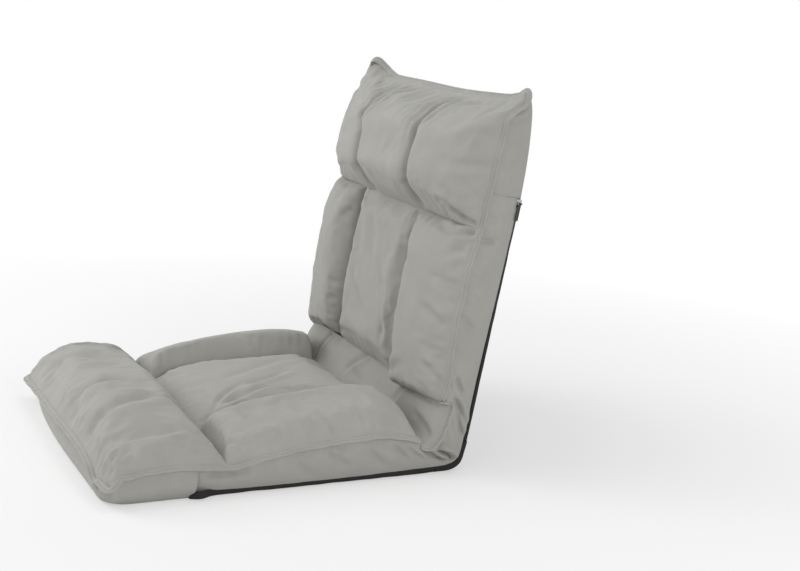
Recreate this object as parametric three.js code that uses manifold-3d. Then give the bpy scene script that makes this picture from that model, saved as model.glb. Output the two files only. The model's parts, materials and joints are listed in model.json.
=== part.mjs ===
// A folding floor chair: a padded seat and a padded backrest, each on a bent steel frame,
// joined just above the floor by two ratchet hinges, in a quilted cover with a zipper.
// Millimetres, +Z up. The front of the seat is at -Y, and the sitter's left side is +X.
// Seat and backrest are drawn as panels: x runs across, y away from the hinge axis, and z from
// the outer face, which is the floor side of the seat and the rear of the backrest.
import * as THREE from "three";
import { mergeVertices } from "three/addons/utils/BufferGeometryUtils.js";
import Module from "manifold-3d";

// Gaps and overruns
const clear = 0.3;
const overrun = 3;

// The whole chair
const coverWidth = 513;
const padOverhang = 11.5;
const seatLength = 538;
const backLength = 562;
const hingeHeight = 20;
const restLean = 10;

// Cover cloth, and the dark panels under the seat and behind the backrest
const clothThick = 2;
const bandThick = 2.5;
const rimHeight = 6;
const panelStart = 20;
const panelEnd = 405;
const seatBandStart = 48;
const backBandStart = 66;
const creaseThick = 1.5;
const pipingRadius = 4;
const earReach = 3;

// Foam and the pads on it
const foamStart = 45;
const foamTop = 44;
const foamSideGap = 3;
const foamFloorGap = 3;
const rollStart = 364;
const rollHeight = 111;
const rollDents = [-150, 15, 145];
const rollDentWidth = 20;
const rollDentShare = 0.07;
const headStart = 352;
const headHeight = 124;
const headSag = 20;
const headChannels = [-100, 112];
const headChannelWidth = 17;
const headChannelShare = 0.13;
const seatPadStart = 70;
const backPadStart = 98;
const seatGroove = 133;
const backGroove = 123;
const grooveGap = 3;
const seatBolsterHeight = 105;
const seatCentreHeight = 88;
const backBolsterHeight = 101;
const backCentreHeight = 93;
const seatSeamHeight = 66;
const backSeamHeight = 73;
const lumbarFront = 69;
const lumbarTop = 116;

// Frames
const tubeDiameter = 16;
const tubeWall = 1.2;
const frameBend = 45;
const frameStart = 35;
const frameEnd = 388;
const lowBar = 68;
const midBar = 230;

// Ratchet hinges
const caseOut = 239;
const cheekThick = 2;
const gearThick = 3;
const gearRadius = 15;
const toothDepth = 2.8;
const toothPitch = 16;
const foldSteps = 2;
const reclineSteps = 5;
const armLength = 96;
const gearArmTop = 6;
const gearArmBottom = 9;
const cheekRadius = 16;
const cheekArmHalf = 8;
const pivotRadius = 4;
const pinHead = 6.8;
const rivetRadius = 2.5;
const rivetHead = 4.5;
const headThick = 2;
const rivetNear = 50;
const rivetFar = 86;
const pawlPivotUp = 18;
const pawlPivotBack = 12;
const pawlHub = 3.5;
const pawlPinRadius = 1.8;
const pawlLift = 0.6;
const pawlWeb = 3;
const noseHalf = 0.8;
const noseSet = 0.7;
const spacerUp = 30;
const spacerForward = 5;
const springThick = 0.6;
const springReach = 9;

// Zipper
const chainWidth = 5;
const chainThick = 1.6;
const chainInset = 2.2;
const chainStart = 40;
const sliderPlace = 398;
const sliderLength = 12;
const sliderWall = 1.4;
const pullLength = 26;
const pullThick = 1.2;
const pullBar = 0.8;
const pullKnuckle = 1.9;

// Worked out from the sizes above
const tubeRadius = tubeDiameter / 2;
const coverHalf = coverWidth / 2;
const padHalf = coverHalf + padOverhang;
const bandInner = coverHalf - bandThick;
const gearOut = caseOut - cheekThick - clear;
const gearIn = gearOut - gearThick;
const innerCheekOut = gearIn - clear;
const innerCheekIn = innerCheekOut - cheekThick;
const seatRail = gearIn - clear - tubeRadius;
const backRail = innerCheekIn - clear - tubeRadius;
const sides = [
  { name: "left", x: 1 },
  { name: "right", x: -1 },
];

const wasm = await Module();
wasm.setup();

const material = (color, roughness, metalness) =>
  new THREE.MeshStandardMaterial({ color, roughness, metalness });
const suede = material("#9c9b95", 0.95, 0);
const darkCloth = material("#2d2a2a", 0.9, 0);
const foam = material("#e6dfc8", 1, 0);
const tubeSteel = material("#3a3c3f", 0.45, 0.6);
const zincSteel = material("#a9abab", 0.4, 0.9);
const silver = material("#c4c4c2", 0.3, 0.95);
const zipDark = material("#3b3a3b", 0.6, 0);

// Closed geometry as a solid, and back
function solid(geometry) {
  const bare = geometry.index ? geometry.toNonIndexed() : geometry.clone();
  bare.deleteAttribute("normal");
  bare.deleteAttribute("uv");
  const merged = mergeVertices(bare);
  return new wasm.Manifold(
    new wasm.Mesh({
      numProp: 3,
      vertProperties: merged.attributes.position.array,
      triVerts: new Uint32Array(merged.index.array),
    }),
  );
}

function surface(body) {
  const mesh = body.getMesh();
  const geometry = new THREE.BufferGeometry();
  geometry.setAttribute("position", new THREE.BufferAttribute(mesh.vertProperties, 3));
  geometry.setIndex(new THREE.BufferAttribute(mesh.triVerts, 1));
  return geometry;
}

const cut = (base, ...tools) =>
  surface(tools.reduce((body, tool) => body.subtract(solid(tool)), solid(base)));
const join = (...pieces) =>
  surface(pieces.map(solid).reduce((body, piece) => body.add(piece)));

// Simple shapes
function box(x0, x1, y0, y1, z0, z1) {
  const geometry = new THREE.BoxGeometry(x1 - x0, y1 - y0, z1 - z0);
  return geometry.translate((x0 + x1) / 2, (y0 + y1) / 2, (z0 + z1) / 2);
}

// A flat outline in y and z, as thick as it reaches from x0 to x1
function plate(points, x0, x1) {
  const shape = new THREE.Shape(points.map(([y, z]) => new THREE.Vector2(y, z)));
  const geometry = new THREE.ExtrudeGeometry(shape, { depth: x1 - x0, bevelEnabled: false });
  const turn = new THREE.Matrix4().makeBasis(
    new THREE.Vector3(0, 1, 0),
    new THREE.Vector3(0, 0, 1),
    new THREE.Vector3(1, 0, 0),
  );
  return geometry.applyMatrix4(turn).translate(x0, 0, 0);
}

function rod(x0, x1, y, z, radius, faces = 12) {
  const geometry = new THREE.CylinderGeometry(radius, radius, x1 - x0, faces);
  return geometry.rotateZ(Math.PI / 2).translate((x0 + x1) / 2, y, z);
}

// A round bar along x with a flat head at each end
function rivet(x0, x1, y, z, radius, head, thick) {
  const profile = [
    [0, x0 - thick],
    [head, x0 - thick],
    [head, x0],
    [radius, x0],
    [radius, x1],
    [head, x1],
    [head, x1 + thick],
    [0, x1 + thick],
  ].map(([r, x]) => new THREE.Vector2(r, x));
  return new THREE.LatheGeometry(profile, 12).rotateZ(-Math.PI / 2).translate(0, y, z);
}

// Rings of equal count joined into one closed skin. The ends are filled as flat outlines, seen
// with the loft's own direction coming towards the eye.
function loft(rings, flatFirst, flatLast = flatFirst) {
  const count = rings[0].length;
  const triangles = [];
  for (let i = 0; i + 1 < rings.length; i++) {
    for (let k = 0; k < count; k++) {
      const next = (k + 1) % count;
      const [a, b] = [rings[i][k], rings[i][next]];
      const [c, d] = [rings[i + 1][k], rings[i + 1][next]];
      triangles.push(a, b, c, b, d, c);
    }
  }
  const [start, end] = [rings[0], rings[rings.length - 1]];
  for (const [a, b, c] of THREE.ShapeUtils.triangulateShape(start.map(flatFirst), [])) {
    triangles.push(start[a], start[c], start[b]);
  }
  for (const [a, b, c] of THREE.ShapeUtils.triangulateShape(end.map(flatLast), [])) {
    triangles.push(end[a], end[b], end[c]);
  }
  return new THREE.BufferGeometry().setFromPoints(triangles);
}

// A round bar along a route that stays nearly level, with a ring of faces at each of its points
function sweep(route, radius, faces, stretch = 0) {
  const up = new THREE.Vector3(0, 0, 1);
  const last = route.length - 1;
  const rings = route.map((here, i) => {
    const into = here.clone().sub(route[Math.max(0, i - 1)]).normalize();
    const out = route[Math.min(last, i + 1)].clone().sub(here).normalize();
    const along = into.add(out).normalize();
    const across = up.clone().cross(along).normalize();
    const rise = along.clone().cross(across);
    const past = i === 0 ? -stretch : i === last ? stretch : 0;
    const ring = [];
    for (let k = 0; k < faces; k++) {
      const turn = (2 * Math.PI * k) / faces;
      ring.push(
        here.clone()
          .addScaledVector(along, past)
          .addScaledVector(rise, radius * Math.cos(turn))
          .addScaledVector(across, radius * Math.sin(turn)),
      );
    }
    return ring.reverse();
  });
  return loft(
    rings,
    (p) => new THREE.Vector2(p.z, p.x),
    (p) => new THREE.Vector2(p.x, p.z),
  );
}

const bump = (x, centre, width) => Math.exp(-(((x - centre) / width) ** 2));

// How full a pad is along its length: one in the middle, falling in a round to the seams, as
// far as each end's share says. A higher power keeps a pad full for longer.
function fullness(share, ends) {
  const { least, power } = share < 0.5 ? ends.near : ends.far;
  const fall = 1 - Math.abs(2 * share - 1) ** power;
  return least + (1 - least) * Math.sqrt(Math.max(0, fall));
}

// Station shares along a pad, closer together at its ends
const stationShares = [0, 0.02, 0.07, 0.16, 0.3, 0.5, 0.7, 0.84, 0.93, 0.98, 1];

// A pad that runs away from the hinge, from one side seam to the other, with a crowned top,
// sides drawn in between its ends, and its foot on the foam
function lengthPad({ from, to, inner, outer, foot, seam, crown, drawShare, ends }) {
  const base = foamTop + clear;
  const overTop = [0.12, 0.25, 0.4, 0.6, 0.75, 0.88];
  const rings = stationShares.map((share) => {
    const full = fullness(share, ends);
    const draw = (outer - inner) * drawShare * Math.sin(Math.PI * share);
    const [low, high] = [inner + draw, outer - draw];
    const seamNow = base + (seam - base) * full;
    const crownNow = seamNow + (crown - seam) * full;
    const y = from + (to - from) * share;
    const points = [
      [low, base],
      [Math.min(foot, high), base],
      [high, seamNow],
    ];
    for (const across of overTop) {
      const rise = Math.sin(Math.PI * across) ** 0.7;
      points.push([high + (low - high) * across, seamNow + (crownNow - seamNow) * rise]);
    }
    points.push([low, seamNow]);
    return points.map(([x, z]) => new THREE.Vector3(x, y, z));
  });
  return loft(rings.reverse(), (p) => new THREE.Vector2(p.x, p.z));
}

// A roll across the chair. Each outline point has y, z, how far it follows the swell of the
// station, and how far it flares from the band's width to the pad's width. The roll is pressed in
// at its dents, and its far edge sags between its corners.
function acrossRoll({ half, outline, floor, end, dents, dentWidth, dentShare, sag = 0 }) {
  const wanted = stationShares.map((share) => half * (2 * share - 1));
  for (const dent of dents) {
    wanted.push(dent - dentWidth, dent, dent + dentWidth);
  }
  const stations = wanted
    .sort((a, b) => a - b)
    .filter((x, i, all) => i === 0 || x - all[i - 1] > half / 200);
  const clockwise = THREE.ShapeUtils.isClockWise(outline.map(([y, z]) => new THREE.Vector2(y, z)));
  const points = clockwise ? [...outline].reverse() : outline;
  const nearest = Math.min(...outline.map(([y]) => y));
  const span = Math.max(...outline.map(([y]) => y)) - nearest;
  const rings = stations.map((x) => {
    const full = fullness((x / half + 1) / 2, { near: end, far: end });
    const dip = dents.reduce((sum, dent) => sum + bump(x, dent, dentWidth), 0);
    const swell = full * (1 - dentShare * Math.min(1, dip));
    const shrink = 1 - (sag / span) * sagShare(x, half);
    return points.map(([y, z, follows, flare]) => {
      const reach = (coverHalf + (half - coverHalf) * flare) / half;
      const here = follows || flare ? nearest + (y - nearest) * shrink : y;
      return new THREE.Vector3(x * reach, here, floor + (z - floor) * (1 + follows * (swell - 1)));
    });
  });
  return loft(rings, (p) => new THREE.Vector2(p.y, p.z));
}

// A steel tube round the three outer sides of a panel, open at the hinge end
function frameRoute(rail) {
  const end = frameEnd - frameBend;
  const turns = [0, 15, 30, 45, 60, 75, 90].map((degrees) => THREE.MathUtils.degToRad(degrees));
  const corner = (sign) =>
    turns.map((a) => [
      sign * (rail - frameBend + frameBend * Math.cos(a)),
      end + frameBend * Math.sin(a),
    ]);
  return [[rail, frameStart], ...corner(1), ...corner(-1).reverse(), [-rail, frameStart]].map(
    ([x, y]) => new THREE.Vector3(x, y, hingeHeight),
  );
}

function frameTube(rail) {
  const route = frameRoute(rail);
  const holes = sides.flatMap((side) =>
    [rivetNear, rivetFar].map((y) => {
      const middle = side.x * rail;
      return rod(middle - tubeDiameter, middle + tubeDiameter, y, hingeHeight,
        rivetRadius + clear, 8);
    }),
  );
  const bore = sweep(route, tubeRadius - tubeWall, 10, overrun);
  return cut(sweep(route, tubeRadius, 12), bore, ...holes);
}

function crossTube(rail, place) {
  const reach = rail - tubeRadius - clear;
  const past = reach + overrun;
  const bore = rod(-past, past, place, hingeHeight, tubeRadius - tubeWall, 10);
  return cut(rod(-reach, reach, place, hingeHeight, tubeRadius), bore);
}

// A foam slab that fills the frame and covers its rails, with tunnels for the cross tubes
function foamCore(rail) {
  const low = clothThick + foamFloorGap;
  const step = hingeHeight + tubeRadius + clear;
  const narrow = rail - tubeRadius - headThick - 2 * clear;
  const wide = bandInner - foamSideGap;
  const end = panelEnd - bandThick - clear;
  const core = join(
    box(-narrow, narrow, foamStart, frameEnd - tubeRadius - clear, low, foamTop),
    box(-wide, wide, foamStart, end, step, foamTop),
  );
  const tunnels = [lowBar, midBar].map((y) =>
    rod(-coverHalf, coverHalf, y, hingeHeight, tubeRadius + clear),
  );
  return cut(core, ...tunnels, sweep(frameRoute(rail), tubeRadius + 2 * clear, 12));
}

// The dark panel on the outer face, with a low rim up the sides
function outerPanel() {
  const reach = coverHalf - clear;
  const inside = reach - clothThick;
  return cut(
    box(-reach, reach, panelStart, panelEnd, 0, rimHeight),
    box(-inside, inside, panelStart - overrun, panelEnd + overrun, clothThick, rimHeight + overrun),
  );
}

// The cover's side band, with the partition that closes the foam's pocket
function sideBand(start) {
  const low = rimHeight + clear;
  return join(
    box(bandInner, coverHalf, start, panelEnd, low, foamTop),
    box(-coverHalf, -bandInner, start, panelEnd, low, foamTop),
    box(-coverHalf, coverHalf, panelEnd - bandThick, panelEnd, low, foamTop),
  );
}

// How much of its full sag an edge between two corners has at x
const sagPower = 6;
const sagShare = (x, half) => 1 - Math.abs(x / half) ** sagPower;

// The piping: a round cord up one side, round the pinched corners of the end and down again.
// The edge between the corners may sag.
const pipingEndShares = [0.8, 0.6, 0.35];
function piping(sidePoints, endY, endZ, sag = 0) {
  const out = padHalf + clear + pipingRadius;
  const past = endY + clear + pipingRadius;
  const half = [
    ...sidePoints.map(([y, z]) => [out, y, z]),
    [out + earReach, past - 2 * earReach, endZ],
    [out + earReach / 2, past + earReach / 2, endZ],
    [out - 3 * earReach, past + earReach / 2, endZ],
    [out - frameBend, past - sag * sagShare(out - frameBend, out), endZ],
    ...(sag ? pipingEndShares : []).map((share) => [
      out * share, past - sag * sagShare(share, 1), endZ,
    ]),
  ].map(([x, y, z]) => new THREE.Vector3(x, y, z));
  const mirrored = half.map((p) => new THREE.Vector3(-p.x, p.y, p.z)).reverse();
  const middle = new THREE.Vector3(0, past - sag, endZ);
  return sweep([...half, middle, ...mirrored], pipingRadius, 6);
}

// Points on a circle round the hinge axis, by the angle from up towards the rear, on the seat
function gearPoint(angle, radius) {
  const a = THREE.MathUtils.degToRad(angle);
  return [-radius * Math.sin(a), hingeHeight + radius * Math.cos(a)];
}

// The toothed plate on the seat's rail: a disc with a gap for each position, and its arm
const toothShares = { flank: 0.42, floor: 0.3 };
function gearPlate() {
  const root = gearRadius - toothDepth;
  const firstGap = restLean - foldSteps * toothPitch;
  const gaps = foldSteps + reclineSteps + 1;
  const edge = (limit) => THREE.MathUtils.radToDeg(Math.acos(limit / gearRadius));
  const armTo = 360 - edge(-gearArmBottom);
  const points = [gearPoint(-edge(gearArmTop), gearRadius)];
  for (let i = 0; i < gaps; i++) {
    const middle = firstGap + i * toothPitch;
    points.push(gearPoint(middle - toothPitch * toothShares.flank, gearRadius));
    points.push(gearPoint(middle - toothPitch * toothShares.floor, root));
    points.push(gearPoint(middle + toothPitch * toothShares.floor, root));
    points.push(gearPoint(middle + toothPitch * toothShares.flank, gearRadius));
  }
  const lastAngle = firstGap + (gaps - 0.5) * toothPitch;
  const roundSteps = 6;
  for (let i = 0; i <= roundSteps; i++) {
    points.push(gearPoint(lastAngle + ((armTo - lastAngle) * i) / roundSteps, gearRadius));
  }
  points.push([armLength, hingeHeight - gearArmBottom]);
  points.push([armLength, hingeHeight + gearArmTop]);
  const [from, to] = [gearIn - overrun, gearOut + overrun];
  const holes = [rivetNear, rivetFar].map((y) =>
    rod(from, to, y, hingeHeight, rivetRadius + clear, 8),
  );
  const bore = rod(from, to, 0, hingeHeight, pivotRadius + clear);
  return cut(plate(points, gearIn, gearOut), bore, ...holes);
}

// One cheek of the backrest's hinge case. The inner one has the arm that holds the rail.
function cheek(x0, x1, arm) {
  const [low, high] = [hingeHeight - cheekArmHalf, hingeHeight + cheekArmHalf];
  const foot = hingeHeight - pawlPivotBack - pawlHub;
  const tip = spacerUp + rivetHead;
  const bridge = [[0, foot], [pawlPivotUp + pawlHub, foot], [tip, low], [tip, high], [0, high]];
  const pieces = [rod(x0, x1, 0, hingeHeight, cheekRadius, 20), plate(bridge, x0, x1)];
  const hole = (y, z, radius) => rod(x0 - overrun, x1 + overrun, y, z, radius + clear, 10);
  const holes = [
    hole(0, hingeHeight, pivotRadius),
    hole(pawlPivotUp, hingeHeight - pawlPivotBack, pawlPinRadius),
    hole(spacerUp, hingeHeight + spacerForward, rivetRadius),
  ];
  if (arm) {
    pieces.push(box(x0, x1, spacerUp, armLength, low, high));
    holes.push(hole(rivetNear, hingeHeight, rivetRadius));
    holes.push(hole(rivetFar, hingeHeight, rivetRadius));
  }
  return cut(join(...pieces), ...holes);
}

// The pawl, lifted just clear of the teeth, with its nose over the gap of the upright position
function pawl() {
  const tip = gearRadius + pawlLift;
  const root = tip + toothDepth + clear;
  const middle = hingeHeight + noseSet;
  const axis = hingeHeight - pawlPivotBack;
  const [x0, x1] = [gearIn + clear, gearOut - clear];
  const body = plate(
    [
      [tip, middle - noseHalf],
      [tip, middle + noseHalf],
      [root, middle + 1.5 * noseHalf],
      [root + pawlWeb, middle + 1.5 * noseHalf],
      [pawlPivotUp + pawlHub, axis],
      [pawlPivotUp, axis + pawlHub / 2],
      [root, middle - 1.5 * noseHalf],
    ],
    x0,
    x1,
  );
  const hub = rod(x0, x1, pawlPivotUp, axis, pawlHub);
  const bore = rod(x0 - overrun, x1 + overrun, pawlPivotUp, axis, pawlPinRadius + clear, 10);
  return cut(join(body, hub), bore);
}

// A leaf spring that hooks on the spacer and bears on the pawl's back
function pawlSpring() {
  const from = gearRadius + pawlLift + toothDepth + pawlWeb + 2 * clear;
  const top = hingeHeight + spacerForward - rivetRadius - clear;
  const to = spacerUp + rivetRadius;
  return plate(
    [
      [from, top - springReach],
      [from, top],
      [to, top],
      [to, top - springThick],
      [from + springThick, top - springThick],
      [from + springThick, top - springReach],
    ],
    gearIn + clear,
    gearOut - clear,
  );
}

// Every piece of one hinge, drawn for the +x side: its panel, name and geometry
function hingePieces() {
  const pawlZ = hingeHeight - pawlPivotBack;
  const spacerZ = hingeHeight + spacerForward;
  const [low, high] = [innerCheekIn - clear, caseOut + clear];
  const across = (y, z, radius, head, thick) => rivet(low, high, y, z, radius, head, thick);
  const railRivet = (rail, plateOut, y) =>
    rivet(rail - tubeRadius - clear, plateOut + clear, y, hingeHeight, rivetRadius, rivetHead,
      headThick);
  return [
    ["seat", "gear_plate", gearPlate()],
    ["back", "hinge_cheek_outer", cheek(caseOut - cheekThick, caseOut, false)],
    ["back", "hinge_cheek_inner", cheek(innerCheekIn, innerCheekOut, true)],
    ["seat", "hinge_pin", across(0, hingeHeight, pivotRadius, pinHead, headThick)],
    ["back", "pawl", pawl()],
    ["back", "pawl_pin", across(pawlPivotUp, pawlZ, pawlPinRadius, pawlHub, headThick / 2)],
    ["back", "hinge_spacer", across(spacerUp, spacerZ, rivetRadius, rivetHead, headThick / 2)],
    ["back", "pawl_spring", pawlSpring()],
    ["seat", "seat_rivet_1", railRivet(seatRail, gearOut, rivetNear)],
    ["seat", "seat_rivet_2", railRivet(seatRail, gearOut, rivetFar)],
    ["back", "back_rivet_1", railRivet(backRail, innerCheekOut, rivetNear)],
    ["back", "back_rivet_2", railRivet(backRail, innerCheekOut, rivetFar)],
  ];
}

// Outline points of a roll, from shares of its span and height
function rollOutline(start, end, height, shares) {
  const pocket = panelEnd + clear;
  return [
    [pocket, 0, 0, 0],
    [pocket, foamTop + clear, 0, 0],
    [start, foamTop + clear, 0, 0],
    ...shares.map(([y, z, follows, flare]) => [
      start + (end - start) * y, height * z, follows, flare,
    ]),
  ];
}

const frontRollShares = [
  [0, 0.64, 0.6, 1],
  [0.1, 0.82, 1, 1],
  [0.3, 1, 1, 1],
  [0.55, 0.98, 1, 1],
  [0.76, 0.885, 1, 1],
  [0.92, 0.71, 1, 1],
  [1, 0.5, 1, 1],
  [1, 0.28, 0.5, 1],
  [0.96, 0.09, 0, 0],
  [0.9, 0, 0, 0],
];

const headRollShares = [
  [0, 0.66, 0.7, 1],
  [0.1, 0.9, 1, 1],
  [0.25, 0.985, 1, 1],
  [0.42, 1, 1, 1],
  [0.6, 0.93, 1, 1],
  [0.78, 0.8, 1, 1],
  [0.92, 0.58, 0.6, 1],
  [1, 0.33, 0, 1],
  [0.94, 0.18, 0, 0.6],
  [0.8, 0.1, 0, 0.2],
  [0.5, 0.045, 0, 0],
];

// The roll in the crease as it lies at rest: shares of how far it stands ahead of the hinge
// and of its height, first down its rear and then up its front
const lumbarRearShares = [
  [0.2, 0.862],
  [0.275, 0.603],
  [0.29, 0.534],
  [0.49, 0.397],
];
const lumbarFrontShares = [
  [0.93, 0.397],
  [1, 0.517],
  [0.957, 0.647],
  [0.81, 0.75],
  [0.65, 0.828],
  [0.52, 0.897],
  [0.48, 0.966],
  [0.29, 1],
];

function frontRoll() {
  return acrossRoll({
    half: padHalf,
    outline: rollOutline(rollStart, seatLength, rollHeight, frontRollShares),
    floor: 0,
    end: { least: 0.62, power: 8 },
    dents: rollDents,
    dentWidth: rollDentWidth,
    dentShare: rollDentShare,
  });
}

function headRoll() {
  return acrossRoll({
    half: padHalf,
    outline: rollOutline(headStart, backLength, headHeight, headRollShares),
    floor: headHeight * headRollShares[7][1],
    end: { least: 0.3, power: 4 },
    dents: headChannels,
    dentWidth: headChannelWidth,
    dentShare: headChannelShare,
    sag: headSag,
  });
}

function lumbarRoll() {
  const place = (follows) => ([y, z]) => [-lumbarFront * y, lumbarTop * z, follows, 1];
  return acrossRoll({
    half: padHalf - 2 * grooveGap,
    outline: [...lumbarRearShares.map(place(0)), ...lumbarFrontShares.map(place(1))],
    floor: foamTop,
    end: { least: 0.75, power: 8 },
    dents: [-seatGroove, seatGroove],
    dentWidth: headChannelWidth,
    dentShare: headChannelShare,
  });
}

// The three long pads of a panel: the two bolsters are one shape, drawn for the +x side.
// Their ends at the hinge are rounder, because the crease needs the room when the chair folds.
const bolsterEnds = { near: { least: 0.4, power: 3 }, far: { least: 0.86, power: 8 } };
const centreEnds = { near: { least: 0.7, power: 3 }, far: { least: 0.88, power: 8 } };
function bolster({ start, end, groove, height, seam }) {
  return lengthPad({
    from: start,
    to: end - grooveGap,
    inner: groove + grooveGap / 2,
    outer: padHalf,
    foot: coverHalf,
    seam,
    crown: height,
    drawShare: 0.03,
    ends: bolsterEnds,
  });
}

function centrePad({ start, end, groove, centre, seam }) {
  const half = groove - grooveGap / 2;
  return lengthPad({
    from: start,
    to: end - grooveGap,
    inner: -half,
    outer: half,
    foot: half,
    seam,
    crown: centre,
    drawShare: 0.01,
    ends: centreEnds,
  });
}

// A point of the backrest panel as it stands at rest, in y to the rear of the hinge and z up
const lean = THREE.MathUtils.degToRad(restLean);
function backPoint(y, z) {
  const forward = z - hingeHeight;
  return [
    y * Math.sin(lean) - forward * Math.cos(lean),
    hingeHeight + y * Math.cos(lean) + forward * Math.sin(lean),
  ];
}

// The folded cloth at each side of the hinge, between the two side bands
function gusset() {
  const level = rimHeight + clear;
  const crease = lumbarRearShares
    .slice(1)
    .reverse()
    .map(([y, z]) => [grooveGap - lumbarFront * y, lumbarTop * z]);
  const outline = [
    [clear - seatBandStart, level],
    [clear - seatBandStart, foamTop],
    ...crease,
    backPoint(backBandStart - clear, foamTop),
    backPoint(backBandStart - clear, level),
    backPoint(panelStart, level),
    [level, level * 2],
    [0, level],
  ];
  return plate(outline, bandInner, coverHalf);
}

// The dark cloth that wraps the hinge, from the seat's panel to the backrest's
function creaseCloth() {
  const reach = bandInner - clear;
  const edge = panelStart - clear;
  const steps = 8;
  const arc = (radius) => {
    const points = [];
    for (let i = 0; i <= steps; i++) {
      const turn = (i / steps) * (Math.PI / 2 - lean);
      points.push([radius * Math.sin(turn), hingeHeight - radius * Math.cos(turn)]);
    }
    return points;
  };
  const outer = hingeHeight - clear;
  const inner = outer - creaseThick;
  const outline = [
    [-edge, hingeHeight - outer],
    ...arc(outer),
    backPoint(edge, hingeHeight - outer),
    backPoint(edge, hingeHeight - inner),
    ...arc(inner).reverse(),
    [-edge, hingeHeight - inner],
  ];
  return plate(outline, -reach, reach);
}

// The zipper on the left side: the chain, its slider and the pull tab
const chainX = coverHalf + clear;
const chainTop = chainX + chainThick;
const sliderTop = chainTop + clear + sliderWall;
const barX = sliderTop + clear + pullKnuckle;

function upright(x, y, z0, z1, radius, faces = 10) {
  const geometry = new THREE.CylinderGeometry(radius, radius, z1 - z0, faces);
  return geometry.rotateX(Math.PI / 2).translate(x, y, (z0 + z1) / 2);
}

function zipperChain() {
  return box(chainX, chainTop, chainStart, sliderPlace, chainInset, chainInset + chainWidth);
}

function zipperSlider() {
  const [from, to] = [sliderPlace - sliderLength / 2, sliderPlace + sliderLength / 2];
  const [low, high] = [chainInset - clear, chainInset + chainWidth + clear];
  const body = box(chainX, sliderTop, from, to, low - sliderWall, high + sliderWall);
  const slot = box(chainX - overrun, chainTop + clear, from - overrun, to + overrun, low, high);
  const lug = (z) =>
    box(sliderTop - clear, barX + pullKnuckle, sliderPlace - pullKnuckle / 2,
      sliderPlace + pullKnuckle / 2, z, z + sliderWall);
  const bar = upright(barX, sliderPlace, low - clear, high + clear, pullBar);
  return join(cut(body, slot), lug(low - sliderWall), lug(high), bar);
}

function pullTab() {
  const [low, high] = [chainInset, chainInset + chainWidth];
  const half = pullThick / 2;
  const knuckle = upright(barX, sliderPlace, low, high, pullKnuckle);
  const tab = box(barX - half, barX + half, sliderPlace - pullLength, sliderPlace - pullBar,
    low, high);
  const bore = upright(barX, sliderPlace, low - overrun, high + overrun, pullBar + clear);
  return cut(join(knuckle, tab), bore);
}

// Assembly. The origin is on the floor at the middle of the seat's dark panel.
const chair = new THREE.Group();
chair.position.y = (panelStart + panelEnd) / 2;
const seatPanel = new THREE.Group();
seatPanel.rotation.z = Math.PI;
const backrest = new THREE.Group();
backrest.position.z = hingeHeight;
backrest.rotation.x = Math.PI / 2 - lean;
const backPanel = new THREE.Group();
backPanel.position.z = -hingeHeight;
backrest.add(backPanel);
chair.add(seatPanel, backrest);

function place(parent, name, geometry, look, mirror = 1) {
  const mesh = new THREE.Mesh(geometry, look);
  mesh.name = name;
  mesh.scale.x = mirror;
  parent.add(mesh);
}

// Local +x is the sitter's left on the backrest, and the sitter's right on the turned seat
const turned = new Map([
  [seatPanel, -1],
  [backPanel, 1],
  [chair, 1],
]);
function placePair(parent, name, geometry, look) {
  for (const side of sides) {
    place(parent, name + "_" + side.name, geometry, look, side.x * turned.get(parent));
  }
}

const seatShape = {
  start: seatPadStart,
  end: rollStart,
  groove: seatGroove,
  height: seatBolsterHeight,
  centre: seatCentreHeight,
  seam: seatSeamHeight,
};
const backShape = {
  start: backPadStart,
  end: headStart,
  groove: backGroove,
  height: backBolsterHeight,
  centre: backCentreHeight,
  seam: backSeamHeight,
};

// Places of the side piping, as shares of the panel's length and of its seam height
const seatPipingShares = [
  [0.106, 0.93], [0.13, 1.07], [0.232, 1.2], [0.368, 1.15], [0.496, 1.03], [0.61, 0.83],
  [0.662, 0.8], [0.742, 0.83], [0.816, 0.87], [0.888, 0.77], [0.952, 0.7], [0.985, 0.6],
];
const backPipingShares = [
  [0.178, 0.956], [0.242, 0.956], [0.338, 1.044], [0.441, 1.044], [0.523, 1.06], [0.594, 0.97],
  [0.632, 0.97], [0.73, 0.956], [0.81, 0.94], [0.916, 0.85], [0.961, 0.7], [0.985, 0.59],
];
const pipingSide = (shares, length, seam) => shares.map(([y, z]) => [length * y, seam * z]);

place(seatPanel, "seat_bottom_panel", outerPanel(), darkCloth);
place(seatPanel, "seat_side_band", sideBand(seatBandStart), suede);
place(seatPanel, "seat_foam", foamCore(seatRail), foam);
place(seatPanel, "seat_frame_tube", frameTube(seatRail), tubeSteel);
place(seatPanel, "seat_rear_bar", crossTube(seatRail, lowBar), tubeSteel);
place(seatPanel, "seat_middle_bar", crossTube(seatRail, midBar), tubeSteel);
place(seatPanel, "front_roll", frontRoll(), suede);
place(seatPanel, "seat_centre_pad", centrePad(seatShape), suede);
placePair(seatPanel, "seat_bolster", bolster(seatShape), suede);
place(
  seatPanel,
  "seat_piping",
  piping(pipingSide(seatPipingShares, seatLength, seatSeamHeight), seatLength,
    seatSeamHeight * seatPipingShares.at(-1)[1]),
  suede,
);

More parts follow.
